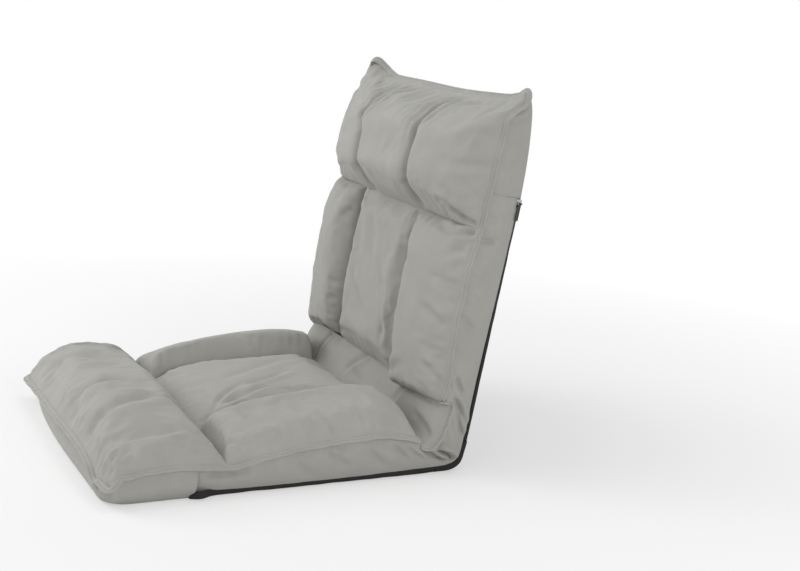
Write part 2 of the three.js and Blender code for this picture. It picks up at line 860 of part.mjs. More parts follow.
place(backPanel, "back_rear_panel", outerPanel(), darkCloth);
place(backPanel, "back_side_band", sideBand(backBandStart), suede);
place(backPanel, "back_foam", foamCore(backRail), foam);
place(backPanel, "back_frame_tube", frameTube(backRail), tubeSteel);
place(backPanel, "back_lower_bar", crossTube(backRail, lowBar), tubeSteel);
place(backPanel, "back_middle_bar", crossTube(backRail, midBar), tubeSteel);
place(backPanel, "headrest_roll", headRoll(), suede);
place(backPanel, "back_centre_pad", centrePad(backShape), suede);
placePair(backPanel, "back_bolster", bolster(backShape), suede);
place(
  backPanel,
  "back_piping",
  piping(pipingSide(backPipingShares, backLength, backSeamHeight), backLength,
    backSeamHeight * backPipingShares.at(-1)[1], headSag - grooveGap / 2),
  suede,
);

place(chair, "lumbar_roll", lumbarRoll(), suede);
placePair(chair, "hinge_gusset", gusset(), suede);
place(chair, "hinge_wrap", creaseCloth(), darkCloth);

for (const [panel, name, geometry] of hingePieces()) {
  placePair(panel === "seat" ? seatPanel : backPanel, name, geometry, zincSteel);
}

place(backPanel, "zipper_chain", zipperChain(), silver);
place(backPanel, "zipper_slider", zipperSlider(), silver);
place(backPanel, "zipper_pull", pullTab(), zipDark);

const part = new THREE.Group();
part.add(chair);

export default part;
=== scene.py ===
# The looks of a folding floor chair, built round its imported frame. Metres, +Z up.
# Seat and backrest are drawn as panels: u runs across to the sitter's left, v runs away from the
# hinge axis, and h stands up from the outer face, which is the floor side or the rear.
import json
import math

import bmesh
import bpy
import numpy as np
from mathutils import Matrix, Vector


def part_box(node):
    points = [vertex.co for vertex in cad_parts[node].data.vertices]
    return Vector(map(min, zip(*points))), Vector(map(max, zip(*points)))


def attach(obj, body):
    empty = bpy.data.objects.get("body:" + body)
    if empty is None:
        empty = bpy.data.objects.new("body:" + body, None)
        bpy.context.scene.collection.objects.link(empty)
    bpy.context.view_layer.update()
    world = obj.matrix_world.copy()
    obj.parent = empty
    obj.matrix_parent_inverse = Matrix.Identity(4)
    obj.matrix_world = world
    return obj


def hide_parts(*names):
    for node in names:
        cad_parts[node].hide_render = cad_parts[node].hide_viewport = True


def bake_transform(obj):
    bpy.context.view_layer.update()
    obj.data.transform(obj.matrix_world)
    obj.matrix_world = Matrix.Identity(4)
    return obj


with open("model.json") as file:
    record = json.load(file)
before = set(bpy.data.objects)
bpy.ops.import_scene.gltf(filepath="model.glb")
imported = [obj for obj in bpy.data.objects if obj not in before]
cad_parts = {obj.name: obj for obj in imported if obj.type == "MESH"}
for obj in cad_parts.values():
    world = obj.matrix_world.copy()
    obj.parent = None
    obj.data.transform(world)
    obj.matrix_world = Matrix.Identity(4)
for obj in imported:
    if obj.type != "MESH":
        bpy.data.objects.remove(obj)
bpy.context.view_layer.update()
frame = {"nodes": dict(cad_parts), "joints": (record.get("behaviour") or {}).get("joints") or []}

# Sizes taken from the frame
hinge = next(j for j in frame["joints"] if j["name"] == "backrest_recline")
HINGE_Y, HINGE_Z = hinge["pos_m"][1:]
LEAN = math.radians(10)
SIN, COS = math.sin(LEAN), math.cos(LEAN)
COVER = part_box("seat_side_band")[1].x
FOAM_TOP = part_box("seat_foam")[1].z
PANEL_END = HINGE_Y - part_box("seat_bottom_panel")[0].y

# Sizes of the cloth and its sewing
CLOTH = 0.0016
GRID = 0.0045
LEAST_CELLS = 8
SEAT_SEAM = 0.3595
BACK_SEAM = 0.352
SEAT_PADS_START = 0.064
BACK_PADS_START = 0.088
FLANGE_RIB = 0.0021
PIPING_IN = 0.0035
PIPING_TILT = math.radians(-30)
STITCH_PITCH = 0.0046
STITCH_LENGTH = 0.0029
STITCH_RADIUS = 0.00042
STITCH_OUT = 1.95 * FLANGE_RIB
STITCH_UP = 0.42 * FLANGE_RIB
PIPING_STEP = 0.0035
# Turns for each point, start and height of the waves that the piping makes
PIPING_WAVES = ((0.9, 0, 0.0003), (0.37, 1, 0.0005))

# The shares of a crease in which it fades in and out, where its row doesn't give them
SOFT = (0.3, 0.35)
CURVE_STEPS = 12
FOLD_STEPS = 64
HOLD_REACH = 0.006
CLOTH_FRAMES = 20
CLOTH_SETTINGS = {"quality": 6, "mass": 0.3, "tension_stiffness": 12, "compression_stiffness": 6,
                  "shear_stiffness": 3, "bending_stiffness": 0.12, "use_pressure": True,
                  "uniform_pressure_force": 0.6, "shrink_min": -0.020}
# The slow part of the cloth's move is kept at a share, and the quick part up to a length
SLOW_CELLS = 5
SLOW_SHARE = 0.25
QUICK_MOST = 0.004
UNDER_EDGE = 7
# Reach, depth and pitch of the gathers beside a pad's seams
GATHERS = (0.009, 0.0009, 0.02)
BEAD_SIDES = 6
rng = np.random.default_rng(11)


# Panels and lines


def mm(*sizes):
    return tuple(size / 1000 for size in sizes)


def mm_line(*rows):
    """Points whose places are given in millimetres."""
    return [mm(*row) for row in rows]


def creases(*rows):
    """Creases given as line, depth and width in mm, then the share of the ridge and the two fades."""
    return [(mm_line(*line), *mm(depth, width), lift, fade or SOFT)
            for line, depth, width, lift, *fade in rows]


def seat_place(p):
    """World places of points given as u, v, h on the seat."""
    p = np.asarray(p, float)
    return np.stack([p[..., 0], HINGE_Y - p[..., 1], p[..., 2]], -1)


def back_place(p):
    """World places of points given as u, v, h on the backrest."""
    p = np.asarray(p, float)
    ahead = p[..., 2] - HINGE_Z
    y = HINGE_Y + p[..., 1] * SIN - ahead * COS
    z = HINGE_Z + p[..., 1] * COS + ahead * SIN
    return np.stack([p[..., 0], y, z], -1)


def seat_flat(world):
    return np.stack([world[..., 0], HINGE_Y - world[..., 1]], -1)


def back_flat(world):
    y, z = world[..., 1] - HINGE_Y, world[..., 2] - HINGE_Z
    return np.stack([world[..., 0], y * SIN + z * COS], -1)


PANELS = {"seat": (seat_place, seat_flat), "backrest": (back_place, back_flat)}


def unit(ways):
    return ways / np.maximum(np.linalg.norm(ways, axis=-1, keepdims=True), 1e-12)


def run_of(line):
    """How far each point of a line lies from its start."""
    return np.r_[0, np.cumsum(np.linalg.norm(np.diff(line, axis=0), axis=1))]


def even(count):
    return np.linspace(0, 1, count)


def smooth(points, shares):
    """Points at those shares of the length of a smooth line through the given points."""
    p = np.array(points, float)
    ends = np.vstack([2 * p[0] - p[1], p, 2 * p[-1] - p[-2]])
    t = np.linspace(0, 1, CURVE_STEPS, endpoint=False)[:, None]
    fine = []
    for a, b, c, d in zip(ends, ends[1:], ends[2:], ends[3:]):
        bend = (2 * a - 5 * b + 4 * c - d) * t**2 + (3 * b - a - 3 * c + d) * t**3
        fine.append(b + 0.5 * ((c - a) * t + bend))
    line = np.vstack([*fine, p[-1:]])
    run = run_of(line)
    return np.stack([np.interp(shares, run / run[-1], line[:, k]) for k in range(p.shape[1])], 1)


def length_of(points):
    return run_of(smooth(points, even(60)))[-1]


def shares_along(length, crowd=0.5):
    """Shares from 0 to 1, closer together near both ends."""
    x = even(max(LEAST_CELLS, round(length / GRID)) + 1)
    return (1 - crowd) * x + crowd * (0.5 - 0.5 * np.cos(np.pi * x))


def fall(x, power, root):
    """One in the middle, falling in a round to nothing at both ends."""
    return np.maximum(0, 1 - np.abs(2 * x - 1) ** power) ** root


def dome(gap, reach):
    """Nothing at a seam, rising in a round to one at a reach from it."""
    x = np.clip(gap / reach, 0, 1)
    return np.sqrt(np.maximum(0, 1 - (1 - x) ** 2))


def bump(x, middle, width):
    return np.exp(-(((x - middle) / width) ** 2))


def filled(start, end, low, high, S, T):
    """A grid between four lines that meet at its corners, at shares S across and T along."""
    corners = (1 - S) * ((1 - T) * start[0] + T * end[0]) + S * ((1 - T) * start[-1] + T * end[-1])
    return (1 - T) * start[:, None] + T * end[:, None] + (1 - S) * low[None] + S * high[None] - corners


def patch(start, end, low, high):
    """A grid of u, v, h that fills four border lines, and its shares s across and t along."""
    s = shares_along(max(length_of(start), length_of(end)))
    t = shares_along(max(length_of(low), length_of(high)))
    lines = smooth(start, s), smooth(end, s), smooth(low, t), smooth(high, t)
    return filled(*lines, s[:, None, None], t[None, :, None]), s[:, None] + 0 * t, t + 0 * s[:, None]


# Meshes


def numbered(grid):
    return np.arange(grid.shape[0] * grid.shape[1]).reshape(grid.shape[:2])


def quads(index):
    a, b, c, d = index[:-1, :-1], index[1:, :-1], index[1:, 1:], index[:-1, 1:]
    return np.stack([a, b, c, d], -1).reshape(-1, 4).tolist()


def new_object(name, places, faces, outward=True):
    mesh = bpy.data.meshes.new(name)
    mesh.from_pydata(np.asarray(places, float).tolist(), [], faces)
    mesh.validate()
    if outward:
        work = bmesh.new()
        work.from_mesh(mesh)
        bmesh.ops.recalc_face_normals(work, faces=work.faces)
        work.to_mesh(mesh)
        work.free()
    mesh.polygons.foreach_set("use_smooth", [True] * len(mesh.polygons))
    item = bpy.data.objects.new(name, mesh)
    bpy.context.scene.collection.objects.link(item)
    return item


def apply_modifiers(item):
    graph = bpy.context.evaluated_depsgraph_get()
    done = bpy.data.meshes.new_from_object(item.evaluated_get(graph))
    item.modifiers.clear()
    item.data = done
    done.name = item.name
    return item


def subdivide(item):
    item.modifiers.new("finer", "SUBSURF").levels = 1
    return apply_modifiers(item)


def thicken(item, depth=CLOTH):
    shell = item.modifiers.new("cloth", "SOLIDIFY")
    shell.thickness, shell.offset = depth, 0
    return apply_modifiers(item)


def sheet(name, grid, depth=CLOTH):
    """A grid of world places as one cloth."""
    item = new_object(name, grid.reshape(-1, 3), quads(numbered(grid)), outward=False)
    thicken(item, depth)
    return subdivide(item)


def stuffed(name, top, back):
    """A closed form from two grids that share their border, with its places and point numbers."""
    index = numbered(top)
    inner = index.copy()
    inner[1:-1, 1:-1] = index.size + numbered(top[1:-1, 1:-1])
    places = np.vstack([top.reshape(-1, 3), back[1:-1, 1:-1].reshape(-1, 3)])
    return new_object(name, places, quads(index) + quads(inner[:, ::-1])), places, index, inner


def ring(radius=1.0):
    turns = np.linspace(0, 2 * math.pi, BEAD_SIDES, endpoint=False)
    return [(radius * math.cos(a), radius * math.sin(a)) for a in turns]


def bead_faces(first):
    """Faces of a short closed tube of four rings, whose points start at that number."""
    last = first + 3 * BEAD_SIDES
    faces = []
    for start in range(first, last, BEAD_SIDES):
        for i in range(BEAD_SIDES):
            a, b = start + i, start + (i + 1) % BEAD_SIDES
            faces.append([a, b, b + BEAD_SIDES, a + BEAD_SIDES])
    ends = [first + i for i in reversed(range(BEAD_SIDES))], [last + i for i in range(BEAD_SIDES)]
    return faces + list(ends)


def dress(item, body, material, replaced=()):
    """Gives a finished piece its material, and the body that carries it where that body is a name; other
    pieces are baked where they stand.
    """
    item.data.materials.clear()
    item.data.materials.append(material)
    if replaced:
        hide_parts(*replaced)
    if isinstance(body, str):
        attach(item, body)
    else:
        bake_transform(item)
    return item


# Folds


def fold(flat, points, depth, width, lift, fade):
    """The height of a crease along a line, with a soft ridge on its left side."""
    shares = even(FOLD_STEPS)
    line = smooth(points, shares)
    way = unit(np.gradient(line, axis=0))
    places = flat.reshape(-1, 2)
    off = places[:, None] - line[None]
    nearest = np.argmin((off**2).sum(2), 1)
    gap = off[np.arange(len(places)), nearest]
    side = way[nearest, 0] * gap[:, 1] - way[nearest, 1] * gap[:, 0]
    along = (way[nearest] * gap).sum(1)
    beyond = np.where((nearest == 0) | (nearest == FOLD_STEPS - 1), along, 0)
    share = shares[nearest] + (along - beyond) / length_of(points)
    rise = np.clip(share / fade[0], 0, 1) * np.clip((1 - share) / fade[1], 0, 1)
    taper = rise * rise * (3 - 2 * rise)
    height = depth * (lift * bump(side, 1.8 * width, 1.3 * width) - bump(side, 0, width))
    return (taper * bump(beyond, 0, width) * height).reshape(flat.shape[:-1])


def pucker(along, gap, reach, deep, pitch):
    """Small gathers beside a seam: along runs down the seam, and gap is the way from it."""
    wave = 0
    for k in range(4):
        wave = wave + np.sin(along * 2 * np.pi / (pitch * rng.uniform(0.6, 1.7)) + rng.uniform(0, 6.3))
    return deep * 0.5 * wave * (gap / reach) * np.exp(1 - gap / reach)


# Pads


def blurred(field, reach):
    """The slow part of a grid of moves, averaged over reach cells each way."""
    share = np.exp(-((np.arange(-2 * reach, 2 * reach + 1) / reach) ** 2))
    share /= share.sum()
    averaged = lambda row: np.convolve(np.pad(row, 2 * reach, mode="edge"), share, "valid")
    for axis in (0, 1):
        field = np.apply_along_axis(averaged, axis, field)
    return field


def settle(item, pinned):
    """Lets a pad's cloth puff up and settle. Returns how far each point moves."""
    mesh = item.data
    start = np.array([v.co for v in mesh.vertices], float)
    group = item.vertex_groups.new(name="held")
    group.add([int(i) for i in pinned], 1.0, "REPLACE")
    cloth = item.modifiers.new("cloth", "CLOTH")
    settings = cloth.settings
    for key, value in CLOTH_SETTINGS.items():
        setattr(settings, key, value)
    settings.vertex_group_mass = "held"
    settings.effector_weights.gravity = 0
    cloth.collision_settings.use_collision = False
    cloth.point_cache.frame_start, cloth.point_cache.frame_end = 1, CLOTH_FRAMES
    scene = bpy.context.scene
    for frame_number in range(1, CLOTH_FRAMES + 1):
        scene.frame_set(frame_number)
    graph = bpy.context.evaluated_depsgraph_get()
    settled = item.evaluated_get(graph).to_mesh()
    end = np.array([v.co for v in settled.vertices], float)
    item.modifiers.clear()
    item.vertex_groups.clear()
    scene.frame_set(1)
    return end - start


def pad(name, panel, borders, crown, rounds, folds, swells=()):
    """A stuffed pad inside its four seams, crowned, with the creases that its seams pull in it."""
    place, flatten = PANELS[panel]
    grid, s, t = patch(*borders)
    seam = grid[..., 2].copy()
    wide, long = length_of(borders[0]), length_of(borders[2])
    full = dome(t * long, rounds[0]) * dome((1 - t) * long, rounds[1])
    full = full * dome(s * wide, rounds[2]) * dome((1 - s) * wide, rounds[3])
    for u, v, reach_u, reach_v, rise in swells:
        full = full * (1 + rise * bump(grid[..., 0], u, reach_u) * bump(grid[..., 1], v, reach_v))
    grid[..., 2] = seam + crown * full
    edge = np.minimum(1, UNDER_EDGE * np.minimum(np.minimum(s, 1 - s), np.minimum(t, 1 - t)))
    under = grid.copy()
    under[..., 2] = seam + (np.minimum(FOAM_TOP, seam) - seam) * edge
    top = place(grid)
    item, places, index, inner = stuffed(name, top, place(under))
    pinned = np.r_[index[0], index[-1], index[1:-1, 0], index[1:-1, -1], inner[1:-1, 1:-1].ravel()]
    move = settle(item, np.unique(pinned))[: index.size].reshape(top.shape)
    slow = blurred(move, SLOW_CELLS)
    quick = move - slow
    far = np.linalg.norm(quick, axis=-1, keepdims=True)
    held = quick * QUICK_MOST * np.tanh(far / QUICK_MOST) / np.maximum(far, 1e-9)
    top = top + SLOW_SHARE * slow + held
    flat = flatten(top)
    height = sum(fold(flat, *crease) for crease in folds)
    width = np.linalg.norm(top[-1] - top[0], axis=-1).mean()
    length = np.linalg.norm(top[:, -1] - top[:, 0], axis=-1).mean()
    for gap, run in ((s * width, t * length), ((1 - s) * width, t * length),
                     (t * length, s * width), ((1 - t) * length, s * width)):
        height = height + pucker(run, gap, *GATHERS)
    turn = -1 if panel == "seat" else 1
    normal = turn * unit(np.cross(np.gradient(top, axis=0), np.gradient(top, axis=1)))
    gap = np.minimum(np.minimum(s, 1 - s) * width, np.minimum(t, 1 - t) * length)
    top = top + normal * (height * np.minimum(1, gap / HOLD_REACH))[..., None]
    places[: index.size] = top.reshape(-1, 3)
    item.data.vertices.foreach_set("co", places.ravel())
    item.data.update()
    return dress(subdivide(item), panel, cover, (name,))


# Piping


def sweep_frames(line, up, tilt):
    way = unit(np.gradient(line, axis=0))
    out = unit(np.cross(way, up))
    top = np.cross(out, way)
    c, s = math.cos(tilt), math.sin(tilt)
    return out * c + top * s, top * c - out * s


def flange(name, line, up, tilt=0.0):
    """A topstitched flange along a line: two ribs side by side with a sewn waist between."""
    out, top = sweep_frames(line, up, tilt)
    upper = [(-2.4, 0.6), (0.3, 1.05), (1.3, 0.95), (1.9, 0.25)]
    tip = [(2.9 + math.cos(a), math.sin(a)) for a in np.linspace(0.82 * np.pi, -0.82 * np.pi, 7)]
    lower = [(x, -y) for x, y in reversed(upper)]
    profile = FLANGE_RIB * np.array(upper + tip + lower)
    rings = line[:, None] + out[:, None] * profile[None, :, :1] + top[:, None] * profile[None, :, 1:]
    index = numbered(rings)
    faces = quads(np.concatenate([index, index[:, :1]], 1))
    faces += [index[0].tolist(), index[-1][::-1].tolist()]
    return new_object(name, rings.reshape(-1, 3), faces), out, top


def stitches(name, line, out, top):
    """A row of thread stitches along the waist of a flange, on both of its faces."""
    run = run_of(line)
    middles = np.arange(STITCH_PITCH, run[-1] - STITCH_PITCH, STITCH_PITCH)
    at = lambda table, x: np.stack([np.interp(x, run, table[:, k]) for k in range(3)], 1)
    places, faces = [], []
    for side in (1, -1):
        for middle in middles:
            ends = middle + np.array([-0.5, -0.3, 0.3, 0.5]) * STITCH_LENGTH
            outs, ups = at(out, ends), at(top, ends)
            centre = at(line, ends) + outs * STITCH_OUT + ups * STITCH_UP * side
            faces += bead_faces(len(places))
            for k, size in enumerate((0.25, 1, 1, 0.25)):
                sink = -ups[k] * side * STITCH_RADIUS * (0.8 if size < 1 else 0)
                places += [centre[k] + sink + outs[k] * a + ups[k] * b
                           for a, b in ring(STITCH_RADIUS * size)]
    return new_object(name, places, faces)


def piping(name, panel, seam):
    """The piping along a seam, with its stitches."""
    place = PANELS[panel][0]
    seam = inset(seam, u=PIPING_IN)
    count = max(24, round(length_of(seam) / PIPING_STEP))
    shares = even(count)
    bare = smooth(seam, shares)
    for turns, start, rise in PIPING_WAVES:
        bare[:, 2] += np.sin(shares * count * turns + start) * rise
    line = place(bare)
    up = place(np.array([[0, 0, 1.0]]))[0] - place(np.array([[0, 0, 0.0]]))[0]
    item, out, top = flange(name, line, up, PIPING_TILT)
    dress(subdivide(item), panel, cover, (name,))
    dress(stitches(name + "_stitches", line, out, top), panel, thread)


# Materials


def node(tree, kind, **values):
    made = tree.nodes.new(kind)
    for key, value in values.items():
        if key in made.inputs:
            made.inputs[key].default_value = value
        else:
            setattr(made, key, value)
    return made


def link(tree, *pairs):
    for source, target in pairs:
        tree.links.new(source, target)


def shader(name, **values):
    material = bpy.data.materials.new(name)
    material.use_nodes = True
    tree = material.node_tree
    principled = tree.nodes["Principled BSDF"]
    for key, value in values.items():
        principled.inputs[key.replace("_", " ")].default_value = value
    return material, tree, principled


def linear(red, green, blue):
    part = lambda c: c / 255 / 12.92 if c <= 10 else ((c / 255 + 0.055) / 1.055) ** 2.4
    return part(red), part(green), part(blue), 1.0


def mottled(tree, principled, colour, spread, scale):
    """Base colour that wanders a little lighter and darker. Returns the places for more textures."""
    place = node(tree, "ShaderNodeTexCoord").outputs["Object"]
    noise = node(tree, "ShaderNodeTexNoise", Scale=scale, Detail=4.0, Roughness=0.6)
    ramp = node(tree, "ShaderNodeValToRGB")
    for end, position, part in zip(ramp.color_ramp.elements, (0.32, 0.68), (1 - spread, 1 + spread)):
        end.position, end.color = position, (*[min(1, c * part) for c in colour[:3]], 1.0)
    link(tree, (place, noise.inputs["Vector"]), (noise.outputs["Fac"], ramp.inputs["Fac"]),
         (ramp.outputs["Color"], principled.inputs["Base Color"]))
    return place


def add_bump(tree, principled, place, texture, strength, distance):
    """Bumps from a texture, on top of those that the material has."""
    bumps = node(tree, "ShaderNodeBump", Strength=strength, Distance=distance)
    before = principled.inputs["Normal"]
    link(tree, (place, texture.inputs["Vector"]), (texture.outputs["Fac"], bumps.inputs["Height"]))
    if before.is_linked:
        link(tree, (before.links[0].from_socket, bumps.inputs["Normal"]))
    link(tree, (bumps.outputs["Normal"], before))


def suede(name, colour):
    material, tree, principled = shader(
        name, Roughness=0.93, Sheen_Weight=0.18, Sheen_Roughness=0.55, Specular_IOR_Level=0.18
    )
    place = mottled(tree, principled, colour, 0.035, 26)
    nap = node(tree, "ShaderNodeTexNoise", Scale=750.0, Detail=3.0, Roughness=0.7)
    rumple = node(tree, "ShaderNodeTexNoise", Scale=34.0, Detail=3.0, Roughness=0.45)
    add_bump(tree, principled, place, rumple, 0.22, 0.004)
    add_bump(tree, principled, place, nap, 0.2, 0.0006)
    return material


def woven(name, colour, pitch):
    material, tree, principled = shader(name, Roughness=0.85, Specular_IOR_Level=0.3)
    place = mottled(tree, principled, colour, 0.12, 90)
    for direction in "XYZ":
        wave = node(tree, "ShaderNodeTexWave", Scale=1 / (pitch * 6.283), Distortion=0.6)
        wave.bands_direction = direction
        add_bump(tree, principled, place, wave, 0.25, pitch * 0.4)
    return material


def solid_finish(name, colour, roughness, metallic, spread, scale, strength):
    material, tree, principled = shader(name, Roughness=roughness, Metallic=metallic)
    place = mottled(tree, principled, colour, spread, scale)
    grain = node(tree, "ShaderNodeTexNoise", Scale=scale * 8, Detail=3.0)
    add_bump(tree, principled, place, grain, strength, 0.0004)
    return material


SUEDE_COLOUR = linear(166, 165, 160)
cover = suede("cover_suede", SUEDE_COLOUR)
thread = solid_finish("cover_thread", linear(176, 175, 170), 0.8, 0, 0.05, 900, 0.2)
dark = woven("dark_cloth", linear(44, 41, 41), 0.0011)
foam_look = solid_finish("foam", linear(224, 217, 194), 1.0, 0, 0.04, 160, 0.6)
tube_look = solid_finish("frame_steel", linear(58, 60, 63), 0.42, 0.3, 0.06, 140, 0.15)
zinc_look = solid_finish("zinc_steel", linear(170, 171, 171), 0.36, 0.95, 0.06, 220, 0.12)
silver_look = solid_finish("zipper_metal", linear(204, 204, 201), 0.24, 1.0, 0.03, 300, 0.06)
coil_look = solid_finish("zipper_coil", linear(38, 36, 37), 0.5, 0, 0.1, 400, 0.1)
pull_look = solid_finish("zipper_pull", linear(60, 58, 59), 0.45, 0.2, 0.06, 240, 0.1)


# Creases of each pad, whose lines are given as u and v
ROLL_FOLDS = creases(
    ([(66, 533), (40, 529), (11, 514), (13, 488), (17, 449), (51, 419), (98, 410)
     ], 8, 14, 0.5, 0.12, 0.3),
    ([(158, 532), (142, 526), (131, 515), (136, 498), (123, 472), (106, 442), (93, 413), (88, 385)
     ], 8.5, 13, 0.4, 0.1, 0.3),
    ([(-125, 529), (-159, 521), (-174, 505), (-165, 470), (-131, 430), (-104, 404)
     ], 6, 15, 0.4, 0.15, 0.3),
    ([(236, 372), (226, 392), (205, 410)], 3.5, 6, 0.5, 0.1, 0.6),
    ([(262, 526), (240, 512), (222, 494)], 3.5, 3.5, 0.6, 0.05, 0.7),
    ([(264, 523), (250, 503), (238, 480)], 3, 3.5, 0.6, 0.05, 0.7),
    ([(266, 520), (259, 497), (252, 474)], 2.6, 3.5, 0.6, 0.05, 0.7),
    ([(256, 529), (232, 524), (206, 516)], 2.6, 3.5, 0.5, 0.05, 0.7),
    ([(90, 372), (98, 400), (96, 425)], 3, 6, 0.5, 0.05, 0.6),
    ([(60, 370), (72, 392), (78, 412)], 2.6, 5, 0.5, 0.05, 0.6),
)
SEAT_NEAR_FOLDS = creases(
    ([(160, 318), (209, 294), (238, 277), (266, 262)], 3, 7, 0.8),
    ([(225, 206), (250, 199), (267, 196)], 2.8, 4, 0.7, 0.5, 0.05),
    ([(236, 356), (248, 342), (262, 330)], 5, 5, 0.5, 0.1, 0.5),
    ([(145, 356), (160, 338), (176, 318)], 3.5, 7, 0.4, 0.1, 0.6),
    ([(266, 150), (245, 146), (222, 150)], 1.8, 5, 0.6, 0.05, 0.6),
)
SEAT_FAR_FOLDS = creases(
    ([(-170, 352), (-190, 335), (-205, 310)], 2.5, 8, 0.4, 0.1, 0.6),
    ([(-200, 75), (-205, 95), (-200, 115)], 2.5, 8, 0.4, 0.1, 0.6),
)
SEAT_CENTRE_FOLDS = creases(
    ([(128, 356), (77, 313), (35, 274), (6, 236)], 6, 5.5, 0.8, 0.1, 0.35),
    ([(116, 340), (79, 276), (52, 236), (42, 188), (31, 139)], 4.5, 6, 0.8, 0.15, 0.35),
    ([(65, 288), (17, 237), (-17, 185), (-50, 145)], 4.2, 6.5, 0.8),
    ([(10, 290), (-40, 240), (-94, 157), (-100, 105)], 2.6, 10, 0.6),
    ([(-120, 345), (-90, 320), (-70, 280)], 2, 10, 0.4, 0.1, 0.6),
    ([(100, 330), (90, 296), (88, 262)], 3, 4.5, 0.6, 0.1, 0.6),
)
BACK_NEAR_FOLDS = creases(
    ([(205, 226), (226, 216), (265, 200)], 3.2, 4.5, 0.8),
    ([(226, 142), (248, 129), (265, 114)], 3.2, 4.5, 0.8),
    ([(150, 96), (165, 112), (200, 126)], 3, 8, 0.4, 0.1, 0.6),
    ([(188, 346.5), (205, 341), (227, 337), (250, 341), (264, 347)], 6, 4.2, 0.8, 0.15, 0.1),
    ([(264, 320), (240, 305), (222, 282)], 2.2, 7, 0.6, 0.1, 0.6),
)
BACK_FAR_FOLDS = creases(
    ([(-160, 345), (-170, 325), (-195, 310)], 2.5, 9, 0.4, 0.1, 0.6),
)
BACK_CENTRE_FOLDS = creases(
    ([(8, 262), (24, 234), (52, 185), (72, 151), (78, 110)], 4, 5.5, 0.8),
    ([(-74, 236), (-68, 201), (-28, 172), (10, 145)], 3.8, 6.5, 0.8),
    ([(38, 240), (58, 205), (72, 160), (78, 115)], 2.6, 4, 0.8),
    ([(-30, 300), (-20, 250), (-4, 205)], 1.6, 8, 0.6),
    ([(-95, 330), (-80, 290), (-78, 240)], 1.8, 10, 0.4, 0.1, 0.6),
)
HEAD_CHANNELS = (
    [(-75, 352), (-80, 375), (-96, 434), (-135, 488), (-134, 532)],
    [(113, 352), (113, 375), (110, 439), (111, 481), (97, 532)],
)
# Each fold that the headrest's top seam gathers: where it starts, how far it leans, its end, its depth
HEAD_GATHERS = (
    (-205, 10, 480, 2.6), (-160, 4, 462, 3), (-112, -6, 452, 4.6), (-88, -9, 436, 4.4),
    (-60, -12, 450, 3.6), (-20, -6, 470, 2.4), (20, 8, 466, 2.6), (52, 12, 446, 3.8),
    (76, 10, 430, 4.4), (122, -5, 440, 4.6), (148, -10, 456, 3.4),
)
HEADREST_FOLDS = creases(
    *((line, 9.5, 14, 0.05, 0.02, 0.2) for line in HEAD_CHANNELS),
    *((line, 8, 4.5, 0.25, 0.02, 0.12) for line in HEAD_CHANNELS),
    *(([(u, 536), (u + d, 505), (u + 2.2 * d, low)], 1.5 * depth, 4.8, 0.8, 0.08, 0.6)
      for u, d, low, depth in HEAD_GATHERS),
    ([(190, 384), (214, 379), (244, 366), (264, 358)], 5.5, 4.2, 0.9, 0.4, 0.05),
    ([(222, 418), (242, 412), (264, 404)], 2.2, 6, 0.6, 0.5, 0.1),
    ([(20, 412), (32, 428), (46, 448)], 1.8, 6, 0.6),
)


# Lines that the seams follow, as u, v, h

SEAT_SIDE = mm_line(
    (268, 60, 57), (270, 85, 66), (271, 125, 72), (271, 198, 69), (271, 267, 62), (270, 328, 50),
    (269.5, 357.5, 45.5), (270, 399, 50), (271.5, 439, 53), (272, 478, 51), (272, 500, 46.5)
)
SEAT_CORNER = mm_line((272.5, 512, 46.5), (275, 520, 39), (276.5, 526.5, 31), (268, 531, 30.5))
FAR_CORNER = mm_line((273, 510, 46), (280, 522, 43), (284, 531, 40), (274, 534.5, 39.5))
SEAT_FRONT = mm_line(
    (254, 532.5, 33), (240, 534.5, 34.5), (230, 534.5, 29), (214, 534.5, 31), (192, 535, 42.5),
    (134, 535.5, 49.5), (45, 536, 49), (-50, 536, 46), (-133, 535.5, 44.5), (-198, 535, 43),
    (-252, 534.5, 40)
)
BACK_SIDE = mm_line(
    (265, 90, 64), (268, 107, 63.5), (270, 136, 64.5), (270, 190, 70.5), (270, 248, 70),
    (269.5, 295, 70.5), (269, 325, 66), (268.5, 350, 63.5), (269, 375, 64), (270, 411, 63.5),
    (269, 456, 62), (266, 505, 59), (264, 520, 54), (262.5, 530, 45), (261, 539, 33)
)
BACK_FAR = [p for p in BACK_SIDE if p[1] < 0.44] + mm_line(
    (269, 456, 63), (267, 505, 61.5), (265, 528, 58.5), (264, 542, 56))
NEAR_TIP = mm(252, 560, 29)
FAR_TIP = mm(259, 559, 53)
NEAR_EAR = mm_line((259, 548, 26.5), (256, 556, 25.5), (251, 560, 26.5), (241, 556.5, 26.8))
FAR_EAR = mm_line((263, 552, 56), (260.5, 560, 55), (256, 560.5, 49), (250, 556, 42))
BACK_TOP = mm_line(
    (229, 551, 27), (212, 547.5, 26.8), (197.4, 545.5, 26.5), (154.4, 543, 26.5), (43.4, 538.5, 26.5),
    (-105.5, 538.5, 26.5), (-205, 538, 26.8), (-226, 542, 29), (-240, 548, 34)
)


def mirror(points):
    return [(-u, v, h) for u, v, h in reversed(points)]


def inset(points, u, h=0.0):
    """The same line drawn in towards the middle of the chair, and down."""
    return [(p[0] - math.copysign(min(u, abs(p[0])), p[0]), p[1], p[2] - h) for p in points]


def between(points, v0, v1):
    """The stretch of a side line from one v to another, as evenly spaced points."""
    table = np.array(points)
    places = np.linspace(v0, v1, 19)
    return [(float(np.interp(v, table[:, 1], table[:, 0])), float(v),
             float(np.interp(v, table[:, 1], table[:, 2]))) for v in places]


def other_side(points):
    return [(-u, v, h) for u, v, h in points]


# Seat pads: heights of the grooves between them, and places of their seams

